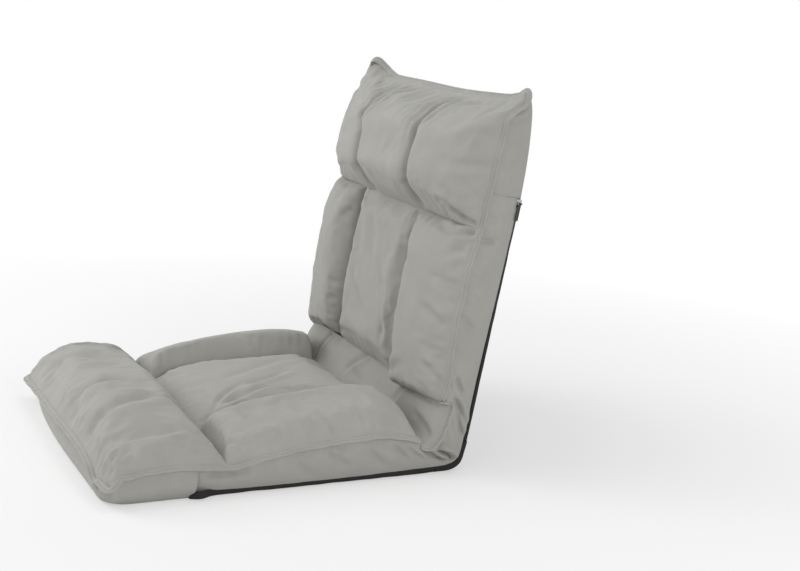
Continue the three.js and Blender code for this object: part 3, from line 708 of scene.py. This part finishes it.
ROLL_GROOVE = 0.054
ROLL_SLIT = 0.037
SEAT_GROOVE_H = 0.067
BACK_GROOVE_H = 0.073
HEAD_GROOVE_H = 0.076
SEAM_IN = 0.0025
CREASE_H = 0.058
BACK_CREASE_H = 0.062
SEAM_REACH = 0.007
SEAM_DEPTH = 0.0018
SEAM_SLANT = 0.0075


def turned(side, borders, rounds):
    """The border lines and rounds of a pad drawn on the near side, turned over for the far side."""
    if side > 0:
        return borders, rounds
    start, end, inner, outer = borders
    near, far, left, right = rounds
    return (mirror(start), mirror(end), other_side(outer), other_side(inner)), (near, far, right, left)


ROLL_SWELLS = ((*mm(-215, 430, 75, 90), 0.10),)
NEAR_FOOT = mm(273, 525.5, 31)
FAR_FOOT = mm(277, 530, 40)


def long_sides(low, *sides):
    """The near and the far side line of a roll, from a v on: each as a line, its corner and its tip."""
    near, far = (between(inset(line, u=SEAM_IN) + [mm(*corner), tip], low, tip[1])
                 for line, corner, tip in sides)
    return near, other_side(far)


def front_roll():
    low = SEAT_SEAM - SEAT_PRESS
    near, far = long_sides(low, (SEAT_SIDE, (271, 514, 45), NEAR_FOOT),
                           (SEAT_SIDE, (272, 516, 45), FAR_FOOT))
    front = [far[-1]] + [(u, v - 0.0005, h - 0.0005) for u, v, h in SEAT_FRONT[::-1]] + [near[-1]]
    groove = [far[0], (-0.2, low, ROLL_SLIT), (0.0, low + 0.003, ROLL_GROOVE), (0.2, low, ROLL_SLIT),
              near[0]]
    pad("front_roll", "seat", (groove, front, far, near), 0.047, mm(48, 74, 25, 80), ROLL_FOLDS,
        ROLL_SWELLS)


SEAT_PRESS = 0.003
# How far out the groove beside the centre pad lies, at each v of its line
SEAT_GROOVES = {1: mm(100, 101, 116, 131, 141), -1: mm(166, 167, 166, 157, 141)}
SEAT_GROOVE_V = (SEAT_PADS_START, *mm(120, 200, 280), SEAT_SEAM)


def groove(places, along, heights, shift):
    first, middle, last = heights
    heights = [first] + [middle] * (len(along) - 2) + [last]
    return [(u + shift, v, h) for u, v, h in zip(places, along, heights)]


def seat_groove(side, shift=0.0):
    return groove(SEAT_GROOVES[side], SEAT_GROOVE_V, (CREASE_H, SEAT_GROOVE_H, ROLL_GROOVE), shift)


def bolster(side, name, panel, line, inner, low, first, last, crown, rounds, folds):
    """A pad between a groove and the side line, whose end lines run through first and last."""
    high = last[1]
    inner[-1] = (inner[-1][0], high, inner[-1][2])
    outer = between(inset(line, u=SEAM_IN), low, high)
    start, end = [inner[0], first, outer[0]], [inner[-1], last, outer[-1]]
    borders, rounds = turned(side, (start, end, inner, outer), rounds)
    pad(name, panel, borders, crown, rounds, folds)


def seat_bolster(side, name, crown, rounds, folds, longer=0.0):
    low = SEAT_PADS_START - longer
    bolster(side, name, "seat", SEAT_SIDE, seat_groove(side), low, (0.2, low, CREASE_H),
            (0.2, SEAT_SEAM + SEAT_PRESS, ROLL_SLIT), crown, rounds, folds)


def centre_pad(name, panel, grooves, first, last, press, rounds, folds):
    """The pad between two grooves, whose end lines run through the places first and last."""
    left, right = other_side(grooves(-1, 0.001)), grooves(1, 0.001)
    left[-1], right[-1] = [(u, v + press, h) for u, v, h in (left[-1], right[-1])]
    start, end = [left[0], first, right[0]], [left[-1], last, right[-1]]
    pad(name, panel, (start, end, left, right), 0.020, rounds, folds)


# Backrest pads

BACK_GROOVES = {1: mm(119, 111, 101, 101, 104), -1: mm(120, 121, 126, 126, 124)}
BACK_GROOVE_V = (BACK_PADS_START, *mm(150, 240, 300), BACK_SEAM)
# How far each bolster hangs over the crease at its groove and at its side
HANG = {1: 0.013, -1: -0.006}
OUTER_HANG = {1: 0.001, -1: 0.008}
SEAM_PRESS = 0.002


def back_groove(side, shift=0.0):
    return groove(BACK_GROOVES[side], BACK_GROOVE_V, (BACK_CREASE_H, BACK_GROOVE_H, HEAD_GROOVE_H), shift)


def back_bolster(side, name, folds):
    hang = HANG[side]
    (u, v, h), *rest = back_groove(side)
    inner = [(u + 0.3 * hang, v - hang, h + 0.5 * max(0, hang)), *rest]
    bolster(side, name, "backrest", BACK_SIDE, inner, BACK_PADS_START - OUTER_HANG[side],
            (0.2, BACK_PADS_START - 0.5 * hang, 0.063),
            (0.2, BACK_SEAM + SEAM_PRESS, HEAD_GROOVE_H - 0.002), 0.032, mm(20, 60, 34, 95), folds)


def headrest():
    low = BACK_SEAM - SEAM_PRESS
    near, far = long_sides(low, (BACK_SIDE, (256.5, 550, 27), NEAR_TIP),
                           (BACK_FAR, (261, 551, 56), FAR_TIP))
    edge = [(u, v, h + 0.0005) for u, v, h in BACK_TOP]
    top = [far[-1], (-0.2510, 0.5555, 0.0430), *edge[::-1], (0.2420, 0.5570, 0.0275), near[-1]]
    start = [far[0], (-0.2, low, HEAD_GROOVE_H - 0.002), (0, low, HEAD_GROOVE_H),
             (0.2, low, HEAD_GROOVE_H - 0.002), near[0]]
    pad("headrest_roll", "backrest", (start, top, far, near), 0.066, mm(85, 78, 220, 150),
        HEADREST_FOLDS)


# The crease between seat and backrest, with a place on the seat's side of it, BEND_FROM, and one on the
# backrest's side, BEND_TO, as y and z from the hinge line.

BEND_FROM = (-0.0300, 0.0395)
BEND_TO = (-0.0160, 0.0581)
BEND = ("seat", "backrest", (0, HINGE_Y + BEND_FROM[0], BEND_FROM[1]),
        (0, HINGE_Y + BEND_TO[0], BEND_TO[1]))
LUMBAR_END = mm_line(
    (264, -60, 50), (268, -40, 44), (269, -27, 57), (269, -18, 79), (268, -11, 99), (265, -16, 110)
)
# How far the roll rises and how deep it goes in
LUMBAR_CROWN, LUMBAR_BELLY = 0.017, 0.012
# The way that the roll stands out, how much further out its far end lies, and where that fades
LUMBAR_OUT = np.array([0, -0.8, 0.6])
FAR_SPREAD = 0.008
SPREAD_FADE = 0.030
LUMBAR_FOLDS = creases(
    ([(-170, 116), (-174, 106), (-183, 88), (-190, 68)], 7.5, 4.5, 0.6, 0.1, 0.15),
    ([(-9, 119), (-30, 105), (-56, 86), (-66, 70)], 7, 5, 0.6, 0.1, 0.2),
    ([(142, 115), (136, 95), (124, 72)], 4.5, 6, 0.5, 0.1, 0.3),
    ([(102, 108), (144, 105), (209, 108), (258, 102)], 4.5, 3.2, 0.9, 0.2, 0.1),
    ([(190, 84), (215, 80), (244, 72), (264, 58)], 4, 3.4, 0.8, 0.25, 0.1),
    ([(-150, 112), (-120, 104), (-80, 102)], 3, 4, 0.6),
    ([(-58, 84), (-20, 76), (20, 74)], 3, 5, 0.6),
)


def round_hinge(points):
    """World places of points given as u and y and z from the hinge line."""
    p = np.asarray(points, float)
    return p + np.array([0, HINGE_Y, 0])


def lumbar():
    far_end = [(-u - FAR_SPREAD, y, z) for u, y, z in LUMBAR_END]
    foot = mm(240, -64, 56)
    middle = [(u, -0.065, CREASE_H) for u in (-0.133, 0, 0.133)]
    low = [far_end[0], (-foot[0], *foot[1:]), *middle, foot, LUMBAR_END[0]]
    upper = [(u, -0.0241, 0.1136) for u in (-0.240, -0.123, 0, 0.123, 0.240)]
    high = [far_end[-1], *upper, LUMBAR_END[-1]]
    grid, s, t = patch(low, high, far_end, LUMBAR_END)
    full = fall(s, 10, 0.5) * fall(t, 2.2, 0.5)
    rise = LUMBAR_CROWN * full * (1 + 0.65 * bump(s, 0, 0.16))
    flat = (grid + LUMBAR_OUT * rise[..., None])[..., [0, 2]]
    for crease in LUMBAR_FOLDS:
        rise = rise + fold(flat, *crease) * np.minimum(1, 1.5 * full)
    top = grid + LUMBAR_OUT * rise[..., None]
    back = grid - LUMBAR_OUT * (LUMBAR_BELLY * np.minimum(1, full))[..., None]
    item = stuffed("lumbar_roll", round_hinge(top), round_hinge(back))[0]
    dress(subdivide(item), BEND, cover, ("lumbar_roll",))


# Bands

# The upper edge of the dark cloth, as v and h, on the seat and on the backrest, and the way it
# turns round the hinge, as y and z from the hinge line
SEAT_DARK = mm_line(
    (412, 7), (409, 10.5), (400, 12.5), (388, 12), (367, 9.8), (319, 8.8), (253, 8), (196, 8.5),
    (112, 9.2), (41, 11.5)
)
BACK_DARK = mm_line(
    (41, 10), (92, 10), (139, 9.8), (203, 8.5), (260, 6.8), (320, 5.4), (380, 4.4), (409, 4)
)
DARK_IN = 0.0012
DARK_CLOTH = 0.0012
COVER_CLOTH = 0.001
LUMP_OUT = 0.012
LUMP_PLACE = (0.398, 0.014)
SIDE_FOLDS = creases(
    ([(-272.5, 48.4), (-257.3, 37.1), (-236.7, 23.6), (-219.7, 16.9)], 3, 8, 0.7),
    ([(-216, 51.3), (-191.9, 40), (-168.6, 24.3)], 3.2, 6, 0.8),
    ([(-159.8, 56.8), (-131.2, 37.4), (-109.4, 20.2), (-98.5, 14)], 3, 7, 0.8),
    ([(-107.9, 60.5), (-92.9, 42.3), (-70.6, 23.2)], 2.8, 5, 0.8),
    ([(-84.6, 53.3), (-67.9, 38.2), (-45.5, 22.5)], 2.6, 4, 0.8),
    ([(-74.1, 55.7), (-49.9, 36.6), (-23.6, 18.7)], 2.6, 3.5, 0.8),
    ([(-63.5, 56.5), (-50.3, 43.4), (-27.8, 27.7), (-1.5, 14)], 5, 3.2, 0.9, 0.1, 0.3),
    ([(-42, 42), (-33.9, 39.3), (-13.5, 31.5), (2, 17.1)], 6.5, 4.2, 0.9, 0.15, 0.2),
    ([(0.4, 104.1), (3, 92), (8.5, 72), (15, 48.5)], 3.4, 3.6, 0.7),
    ([(-12, 125), (3.1, 102.6), (14, 80), (20, 60)], 3.4, 3.6, 0.7),
    ([(-10, 156), (-0.1, 136.9), (8.5, 119)], 2.6, 4, 0.7),
    ([(10.5, 357.5), (30, 356), (52, 354.5)], 2.8, 4, 0.7, 0.1, 0.3),
    ([(16, 400), (35, 390), (56, 383)], 1.8, 6, 0.6),
    ([(-8, 250), (6, 235), (23, 215)], 1.8, 7, 0.6),
)


# The dent that the drawn-in corner between roll and bolster leaves below the piping
(UNDER_PIPING,) = creases(([(-398, 40), (-372, 35), (-336, 36), (-318, 40)], 9, 6, 0.3, 0.25, 0.3))
# How far the side cover runs along both panels, where the pockets begin, and how far both lie
# inside the seam line
COVER_END = PANEL_END + 0.0012
POCKET_START = PANEL_END + 0.0004
UNDER_SEAM = {"u": 0.003, "h": 0.0025}
SIDE_FOLD_DEPTHS = ((-0.30, -0.12, -0.07, 0.0), (0.8, 1.2, 2.2, 2.2))


def drawn_in(gap):
    """How deep a cover is drawn in at that way from its seam."""
    return SEAM_DEPTH * np.maximum(0, 1 - gap / SEAM_REACH) ** 2


def side_path():
    """The upper edge of the side cover in world places: along the seat, round and up the back."""
    seat = between(inset(SEAT_SIDE, **UNDER_SEAM), 0.0650, COVER_END - SEAM_SLANT)[::-1]
    back = between(inset(BACK_SIDE, **UNDER_SEAM), 0.0960, COVER_END)
    crease = [(u - 0.002, y + 0.002, z) for u, y, z in LUMBAR_END]
    return seat_place(seat), round_hinge(crease), back_place(back)


def rim(table, v):
    return np.interp(v, *zip(*sorted(table)))


def side_foot():
    places = np.linspace(0.030, COVER_END, 12)
    seat = [(COVER, v, rim(SEAT_DARK, v) - DARK_IN) for v in places][::-1]
    back = [(COVER, v, rim(BACK_DARK, v) - DARK_IN) for v in places]
    turn = [(COVER, *mm(y, z)) for y, z in ((-12, 11.2), (0.5, 14.8), (8.5, 21.5), (13, 32))]
    return seat_place(seat), round_hinge(turn), back_place(back)


# The side cover's points along the seat, the crease and the back, its rows and its swell, and the
# length over which its gathers fade, with their reach, depth and pitch
SIDE_COUNTS = (110, 50, 104)
SIDE_ROWS = 23
SIDE_SWELL = 0.0035
SIDE_HEIGHT = 0.04
SIDE_GATHERS = (0.008, 0.0009, 0.03)


def side_covers():
    """The cover's side, one cloth from the seat's band through the crease to the back's band."""
    top, foot = (np.vstack([smooth(line, even(n)) for line, n in zip(lines, SIDE_COUNTS)])
                 for lines in (side_path(), side_foot()))
    b = even(SIDE_ROWS)[None]
    grid = foot[:, None] * (1 - b[..., None]) + top[:, None] * b[..., None]
    flat = np.stack([grid[..., 1] - HINGE_Y, grid[..., 2]], -1)
    out = SIDE_SWELL * np.sin(np.pi * b) + np.zeros(grid.shape[:2])
    for crease, ease in [(line, 5) for line in SIDE_FOLDS] + [(UNDER_PIPING, 14)]:
        strength = np.interp(crease[0][0][0], *SIDE_FOLD_DEPTHS)
        out = out + strength * fold(flat, *crease) * np.minimum(1, ease * (1 - b))
    run = run_of(top)
    out = out + pucker(run[:, None], (1 - b) * SIDE_HEIGHT, *SIDE_GATHERS)
    grid[..., 0] += out - drawn_in(np.minimum(run, run[-1] - run))[:, None]
    first, last = run[SIDE_COUNTS[0]], run[sum(SIDE_COUNTS[:2]) - 1]
    beyond = np.maximum(0, np.maximum(first - run, run - last)) / SPREAD_FADE
    spread = FAR_SPREAD * np.cos(np.pi / 2 * np.minimum(1, beyond)) ** 2
    for side, name in ((1, "left"), (-1, "right")):
        made = grid.copy()
        made[..., 0] += (side < 0) * spread[:, None] * b
        item = sheet("side_cover_" + name, made * np.array([side, 1, 1]))
        dress(item, BEND, cover,
              ("seat_side_band", "back_side_band", "hinge_gusset_" + name))


# The dark cloth's points along each panel, round the hinge and across, and its way round the hinge
# as y and z from the hinge line
DARK_COUNT, TURN_COUNT, DARK_ACROSS = 78, 26, 56
DARK_TURN = [(0, *mm(y, z)) for y, z in ((-30, 0.8), (-14, 0.8), (1, 2.6), (12.5, 9), (18.8, 19),
                                         (22.2, 31), (24.9, 45.5))]


def dark_route():
    """Places, inward directions and rim heights of the dark cloth, from the front to the top."""
    seat_v, back_v = (np.linspace(a, b, DARK_COUNT) for a, b in ((0.412, 0.030), (0.030, 0.409)))
    t = even(TURN_COUNT)
    angle = np.radians(np.interp(t, [0, 0.35, 0.75, 1], [0, 12, 72, 80]))
    turned = np.stack([0 * angle, -np.sin(angle), np.cos(angle)], 1)
    seat = seat_place(np.stack([0 * seat_v, seat_v, 0 * seat_v + 0.0008], 1))
    back = back_place(np.stack([0 * back_v, back_v, 0 * back_v + 0.0002], 1))
    places = [seat, round_hinge(smooth(DARK_TURN, t)), back]
    up, ahead = (np.tile(way, (DARK_COUNT, 1)) for way in ((0, 0, 1.0), (0, -COS, SIN)))
    turn_rim = np.interp(t, [0, 0.3, 0.6, 1], mm(12.2, 11.8, 10.8, 10))
    return places, [up, turned, ahead], [rim(SEAT_DARK, seat_v), turn_rim, rim(BACK_DARK, back_v)]


# The rim that the dark cloth turns in: its points as an outward place and a share of its height
DARK_RIM = np.array([(-0.0010, 1.0), (0.0008, 0.75), (0.0013, 0.45), (0.0008, 0.18), (-0.0012, 0.0)])
# How far out each part of it lies, its lumps and how much its edges wander
DARK_OUT = {"seat": 0.0, "backrest": -0.0018, "hinge": -0.0012}
DARK_LUMPS, DARK_SPREAD = 0.0006, 0.0004


def dark_cloth():
    """The dark cloth: under the seat, round the hinge and up the rear, with its turned-in rim."""
    names = (("seat_bottom_cloth", "seat", "seat_bottom_panel"), ("hinge_cloth", BEND, "hinge_wrap"),
             ("back_rear_cloth", "backrest", "back_rear_panel"))
    across = np.linspace(0.97, -0.97, DARK_ACROSS)
    for (name, body, old), place, inward, height in zip(names, *dark_route()):
        side_u = COVER + DARK_RIM[:, 0] + DARK_OUT["hinge" if body is BEND else body]
        share = DARK_RIM[:, 1]
        u = np.r_[side_u, across * side_u[-1], -side_u[::-1]]
        lift = np.r_[share, 0 * across, share[::-1]]
        k = np.arange(len(place))
        wave = np.sin(k * 0.55) * 0.5 + np.sin(k * 0.21 + 1)
        lumps = DARK_LUMPS * (wave[:, None] * np.sin(u * 40)) ** 2
        grid = place[:, None] + inward[:, None] * (height[:, None] * lift + lumps)[..., None]
        spread = (0.0 if body == "backrest" else DARK_SPREAD) * wave
        spread = spread + LUMP_OUT * bump(HINGE_Y - place[:, 1], *LUMP_PLACE)
        grid[..., 0] = u + spread[:, None] * np.sign(u) * (np.abs(u) > 0.25)
        dress(sheet(name, grid, DARK_CLOTH), body, dark, (old,))


# The zipper: the middle of its tape as h, its ends as v, the points along it, its tape and its turns
ZIP_H = 0.0047
ZIP_ENDS = (0.040, 0.392)
ZIP_COUNT = 90
TAPE_OUT, TAPE_HALF, TAPE_CLOTH = 0.0002, 0.0023, 0.0004
COIL_PITCH, COIL_RADIUS, COIL_OUT, COIL_HALF, COIL_SHIFT = 0.0016, 0.00055, 0.0005, 0.0014, 0.0003


def zipper():
    """A coil zipper where the plain chain is: a tape and a row of turns."""
    tape_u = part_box("zipper_chain")[0].x + TAPE_OUT
    places = [[(tape_u, v, ZIP_H + k * TAPE_HALF) for k in (-1, -0.5, 0, 0.5, 1)]
              for v in np.linspace(*ZIP_ENDS, ZIP_COUNT)]
    grid = back_place(np.array(places))
    tape = new_object("zipper_tape", grid.reshape(-1, 3), quads(numbered(grid)), outward=False)
    thicken(tape, TAPE_CLOTH)
    dress(tape, "backrest", dark, ("zipper_chain",))
    places, faces = [], []
    for k, v in enumerate(np.arange(ZIP_ENDS[0] + COIL_PITCH, ZIP_ENDS[1], COIL_PITCH)):
        shift = COIL_SHIFT * (1 if k % 2 else -1)
        faces += bead_faces(len(places))
        for end, size in ((-1, 0.3), (-0.8, 1), (0.8, 1), (1, 0.3)):
            for a, b in ring(COIL_RADIUS):
                places.append((tape_u + COIL_OUT + size * (COIL_RADIUS + a) * 0.6, v + size * b,
                               ZIP_H + shift + end * COIL_HALF))
    coil = new_object("zipper_coil", back_place(np.array(places)), faces)
    dress(coil, "backrest", coil_look)


LUMBAR_SEAM = mm_line((262, -56, 50), (266, -42, 44), (267, -29, 56), (267, -19, 78), (266.5, -13, 96),
                      (265, -12, 106), (263.5, -19, 112.5), (261, -29, 112))


def lumbar_piping():
    """The piping down each end of the roll in the crease."""
    for side, name in ((1, "left"), (-1, "right")):
        line = round_hinge(smooth(LUMBAR_SEAM, even(24)) * np.array([side, 1, 1]))
        line[:, 0] -= FAR_SPREAD * (side < 0)
        item = flange("lumbar_piping_" + name, line[::side], LUMBAR_OUT)[0]
        dress(subdivide(item), BEND, cover)


# The rows and the sag of the roll's band, the round of the near corner of its underside, and the
# front edge of the underside past that corner
ROLL_ROWS, ROLL_SAG = 13, 0.0085
ROLL_ROUND = 0.036
ROLL_PLAN = mm_line((149, 531.5), (38, 532), (-75, 530), (-150, 525), (-190, 516), (-222, 499),
                    (-242, 473), (-250, 440))


def front_cover():
    """The front roll's own pocket: the band round its sides and front, and its grey underside."""
    v0 = POCKET_START
    side = inset(SEAT_SIDE, u=0.003, h=0.002)
    near_top = [p for p in side if p[1] > v0 + 0.01]
    start = between(side, v0 - SEAM_SLANT, v0 + 0.01)[:1]
    corner = mm_line((270, 513, 42), (272, 525, 28))
    far_corner = mm_line((271, 513, 42), (277, 529, 37))
    front = [(u, v - 0.003, h - 0.002) for u, v, h in SEAT_FRONT]
    top = start + near_top + corner + front + mirror(far_corner) + mirror(start + near_top)
    arc = [(COVER - ROLL_ROUND * (1 - math.cos(a)), 0.530 - ROLL_ROUND * (1 - math.sin(a)))
           for a in np.radians([0, 30, 60, 90])]
    plan = [(COVER, v0), (COVER, 0.44), *arc, *ROLL_PLAN, (-COVER, v0)]
    head = smooth(top, even(round(length_of(top) / GRID) + 1))
    # The foot line's points match the head line's by their turn round the middle of the roll
    fine = smooth(plan, even(900))
    middle = np.array([0, v0 - 0.02])
    bearing = lambda p: np.arctan2(p[:, 1] - middle[1], p[:, 0] - middle[0])
    foot = np.stack([np.interp(bearing(head), bearing(fine), fine[:, k]) for k in (0, 1)], 1)
    rows = []
    seam = drawn_in(np.abs(head[:, 1] - v0 + SEAM_SLANT))
    for b in even(ROLL_ROWS):
        sag = math.sin(math.pi * b**1.45) * ROLL_SAG
        flat = head[:, :2] * (1 - b) + foot * b
        away = unit(flat - middle)
        h = head[:, 2] * (1 - b) + 0.002 * b
        rows.append(np.c_[flat + away * (sag - seam[:, None]), h])
    for share, h in zip((0.99, 0.965, 0.85, 0.6, 0.3, 0.04), mm(0.8, 0.6, 0.5, 0.5, 0.5, 0.5)):
        flat = middle + (foot - middle) * share
        flat[:, 1] = np.maximum(flat[:, 1], v0)
        rows.append(np.c_[flat, np.full(len(flat), h)])
    grid = np.stack(rows, 1)
    dress(sheet("front_roll_band", seat_place(grid), COVER_CLOTH), "seat", cover)


HEAD_BAND_FOLDS = creases(
    ([(514, 54), (517, 38), (522, 15)], 4.5, 3.2, 0.9, 0.1, 0.1),
    ([(530, 46), (538, 34), (545, 24)], 3.5, 3, 0.7, 0.1, 0.1),
    ([(427, 56), (445, 40), (464, 16)], 2.2, 8, 0.7),
    ([(470, 56), (478, 40), (482, 24)], 2, 5, 0.7),
)


# The headrest cover's points across and rows, the hollow of its rear and the swell of its sides
REAR_COUNT, BAND_ROWS = 101, 11
REAR_HOLLOW, BAND_SWELL = 0.006, 0.003


def headrest_cover():
    """The headrest's side bands and its grey rear pocket."""
    v0 = POCKET_START
    t = shares_along(0.16, crowd=0.3)
    fronts, rears = [], []
    for line, tip in ((BACK_SIDE, NEAR_TIP), (BACK_FAR, FAR_TIP)):
        under = (tip[0] - 0.001, tip[1] - 0.001, tip[2] - 0.003)
        side = inset(line, **UNDER_SEAM)
        side += [(under[0] + 0.003, under[1] - 0.007, under[2] + 0.001), under]
        near = between(side, v0, under[1])
        drop = under[2] / 0.0285
        rear = [(0.2575, v0, 0.0015), mm(258, 450, 4), *mm_line(
            (257.2, 490, 8 * drop), (256, 528, 13.5 * drop), (255, 550, 21 * drop)), near[-1]]
        fronts.append(smooth(near, t))
        rears.append(smooth(rear, t))
    turn = np.array([-1, 1, 1])
    edge = [(u, v - 0.001, h - 0.002) for u, v, h in BACK_TOP]
    s = even(REAR_COUNT)
    top = smooth([rears[0][-1], *edge, rears[1][-1] * turn], s)
    low = [(0.12, v0, 0.001), (0, v0, 0.0), (-0.12, v0, 0.001)]
    foot = smooth([rears[0][0], *low, rears[1][0] * turn], s)
    s = s[:, None, None]
    T = t[None, :, None]
    back = filled(foot, top, rears[0], rears[1] * turn, s, T)
    back[..., 2] -= REAR_HOLLOW * fall(s[..., 0], 4, 0.5) * fall(T[..., 0], 2, 0.8)
    b = even(BAND_ROWS)[:, None, None]
    swell = BAND_SWELL * np.sin(np.pi * b[..., 0]) * np.minimum(1, 6 * (1 - t))[None]
    sides = [front[None] * (1 - b) + rear[None] * b for front, rear in zip(fronts, rears)]
    for band in sides:
        pleats = sum(fold(band[..., 1:], *crease) for crease in HEAD_BAND_FOLDS)
        band[..., 0] += pleats * np.sin(np.pi * b[..., 0]) ** 0.5
        band[..., 0] += swell - drawn_in(band[..., 1] - v0)
    grid = np.concatenate([sides[0][:-1], back, sides[1][::-1][1:] * turn], 0)
    dress(sheet("headrest_cover", back_place(grid), COVER_CLOTH), "backrest", cover)


# Camera and light

# The photo's camera: its way round, its height above level and its roll, all in degrees
PHOTO_VIEW = (65.227, 12.236, 2.815)
CAMERA_PLACE = Vector((2.2122, HINGE_Y - 1.0037, 0.7601))
PHOTO_LENS = 68.54
PHOTO_SENSOR = 36
WORLD_LIGHT = 0.36
# Name, place, size and power of each lamp, and the place that all of them face
LAMPS = (("key", (-1.5, -1.8, 1.2), 1.6, 27), ("front", (-0.7, -1.9, 2.9), 2.2, 21),
         ("top", (0.5, 0.3, 3.0), 2.0, 14), ("side", (3.0, 0.2, 1.3), 2.0, 30))
LAMP_AIM = (0, 0, 0.2)
FLOOR_SIZE, FLOOR_GAP, FLOOR_WHITE = 12, 0.0005, 0.92
# The floor's own glow: from this way off to this way off it goes from one share to the other
FLOOR_FADE = (0.5, 1.5, 0.5, 1.0)


def make_camera():
    azimuth, elevation, roll = map(math.radians, PHOTO_VIEW)
    data = bpy.data.cameras.new("camera")
    data.lens, data.sensor_width, data.clip_start, data.clip_end = PHOTO_LENS, PHOTO_SENSOR, 0.1, 20
    camera = bpy.data.objects.new("camera", data)
    bpy.context.scene.collection.objects.link(camera)
    level = Matrix.Rotation(azimuth, 4, "Z") @ Matrix.Rotation(math.pi / 2 - elevation, 4, "X")
    camera.matrix_world = Matrix.Translation(CAMERA_PLACE) @ level @ Matrix.Rotation(roll, 4, "Z")
    bpy.context.scene.camera = camera


def area_light(name, place, size, power):
    data = bpy.data.lights.new(name, "AREA")
    data.shape, data.size, data.energy = "DISK", size, power
    lamp = bpy.data.objects.new(name, data)
    bpy.context.scene.collection.objects.link(lamp)
    lamp.location = place
    lamp.rotation_euler = (Vector(LAMP_AIM) - Vector(place)).to_track_quat("-Z", "Y").to_euler()


def combined(tree, operation, first, second):
    made = node(tree, "ShaderNodeMath", operation=operation)
    link(tree, (first, made.inputs[0]), (second, made.inputs[1]))
    return made.outputs[0]


def mixed(tree, ending, share, low, high):
    """Ends a tree of nodes in a mix of two shaders."""
    mix, out = node(tree, "ShaderNodeMixShader"), node(tree, ending)
    link(tree, (share, mix.inputs[0]), (low.outputs[0], mix.inputs[1]),
         (high.outputs[0], mix.inputs[2]), (mix.outputs[0], out.inputs[0]))


def empty_tree(owner):
    owner.use_nodes = True
    owner.node_tree.nodes.clear()
    return owner.node_tree, node(owner.node_tree, "ShaderNodeLightPath").outputs


def studio():
    """A white world that lights the chair at a lower level, and four soft lamps."""
    bpy.context.scene.world = bpy.data.worlds.new("studio")
    tree, rays = empty_tree(bpy.context.scene.world)
    seen = combined(tree, "MAXIMUM", rays["Is Camera Ray"], rays["Is Glossy Ray"])
    seen = combined(tree, "MAXIMUM", seen, rays["Is Transmission Ray"])
    dim = node(tree, "ShaderNodeBackground", Color=(1, 1, 1, 1), Strength=WORLD_LIGHT)
    white = node(tree, "ShaderNodeBackground", Color=(1, 1, 1, 1), Strength=1.0)
    mixed(tree, "ShaderNodeOutputWorld", seen, dim, white)
    for lamp in LAMPS:
        area_light(*lamp)


def white_floor():
    """A pale floor that keeps the chair's shadow and turns to plain white further off."""
    bpy.ops.mesh.primitive_plane_add(size=FLOOR_SIZE, location=(0, 0, -FLOOR_GAP))
    floor = bpy.context.object
    floor.name = "floor"
    material = bpy.data.materials.new("floor_white")
    tree, rays = empty_tree(material)
    diffuse = node(tree, "ShaderNodeBsdfDiffuse", Color=(*[FLOOR_WHITE] * 3, 1))
    glow = node(tree, "ShaderNodeEmission", Color=(1, 1, 1, 1), Strength=1.0)
    place = node(tree, "ShaderNodeTexCoord")
    away = node(tree, "ShaderNodeVectorMath", operation="LENGTH")
    share = node(tree, "ShaderNodeMapRange")
    for key, value in zip(("From Min", "From Max", "To Min", "To Max"), FLOOR_FADE):
        share.inputs[key].default_value = value
    link(tree, (place.outputs["Object"], away.inputs[0]), (away.outputs["Value"], share.inputs["Value"]))
    half = combined(tree, "MULTIPLY", rays["Is Camera Ray"], share.outputs[0])
    mixed(tree, "ShaderNodeOutputMaterial", half, diffuse, glow)
    floor.data.materials.append(material)


# The chair


def cad_finishes():
    """A finish for each solid, the visible ones and those inside."""
    looks = {"foam": foam_look, "tube": tube_look, "bar": tube_look, "zipper_slider": silver_look,
             "zipper_pull": pull_look, "zipper_chain": dark, "panel": dark, "wrap": dark}
    for name, item in frame["nodes"].items():
        look = next((m for key, m in looks.items() if key in name), zinc_look)
        item.data.materials.clear()
        item.data.materials.append(look)


make_camera()
studio()
white_floor()
cad_finishes()
front_roll()
seat_bolster(1, "seat_bolster_left", 0.042, mm(18, 21, 30, 100), SEAT_NEAR_FOLDS)
seat_bolster(-1, "seat_bolster_right", 0.050, mm(13, 24, 28, 95), SEAT_FAR_FOLDS, 0.006)
centre_pad("seat_centre_pad", "seat", seat_groove, (0, SEAT_PADS_START, CREASE_H),
           (0, SEAT_SEAM + SEAT_PRESS + 0.003, ROLL_GROOVE), SEAT_PRESS, mm(30, 45, 45, 45),
           SEAT_CENTRE_FOLDS)
back_bolster(1, "back_bolster_left", BACK_NEAR_FOLDS)
back_bolster(-1, "back_bolster_right", BACK_FAR_FOLDS)
centre_pad("back_centre_pad", "backrest", back_groove, (0, BACK_PADS_START, BACK_CREASE_H),
           (0, BACK_SEAM + SEAM_PRESS, HEAD_GROOVE_H), SEAM_PRESS, mm(26, 60, 50, 50),
           BACK_CENTRE_FOLDS)
headrest()
lumbar()
side_covers()
front_cover()
headrest_cover()
dark_cloth()
zipper()
lumbar_piping()
seat_line = SEAT_SIDE + SEAT_CORNER + SEAT_FRONT + mirror(FAR_CORNER) + mirror(SEAT_SIDE)
piping("seat_piping", "seat", seat_line[::-1])
back_line = BACK_SIDE + NEAR_EAR + BACK_TOP + mirror(FAR_EAR) + mirror(BACK_FAR)
piping("back_piping", "backrest", back_line)

bpy.context.scene.view_settings.view_transform = "Standard"
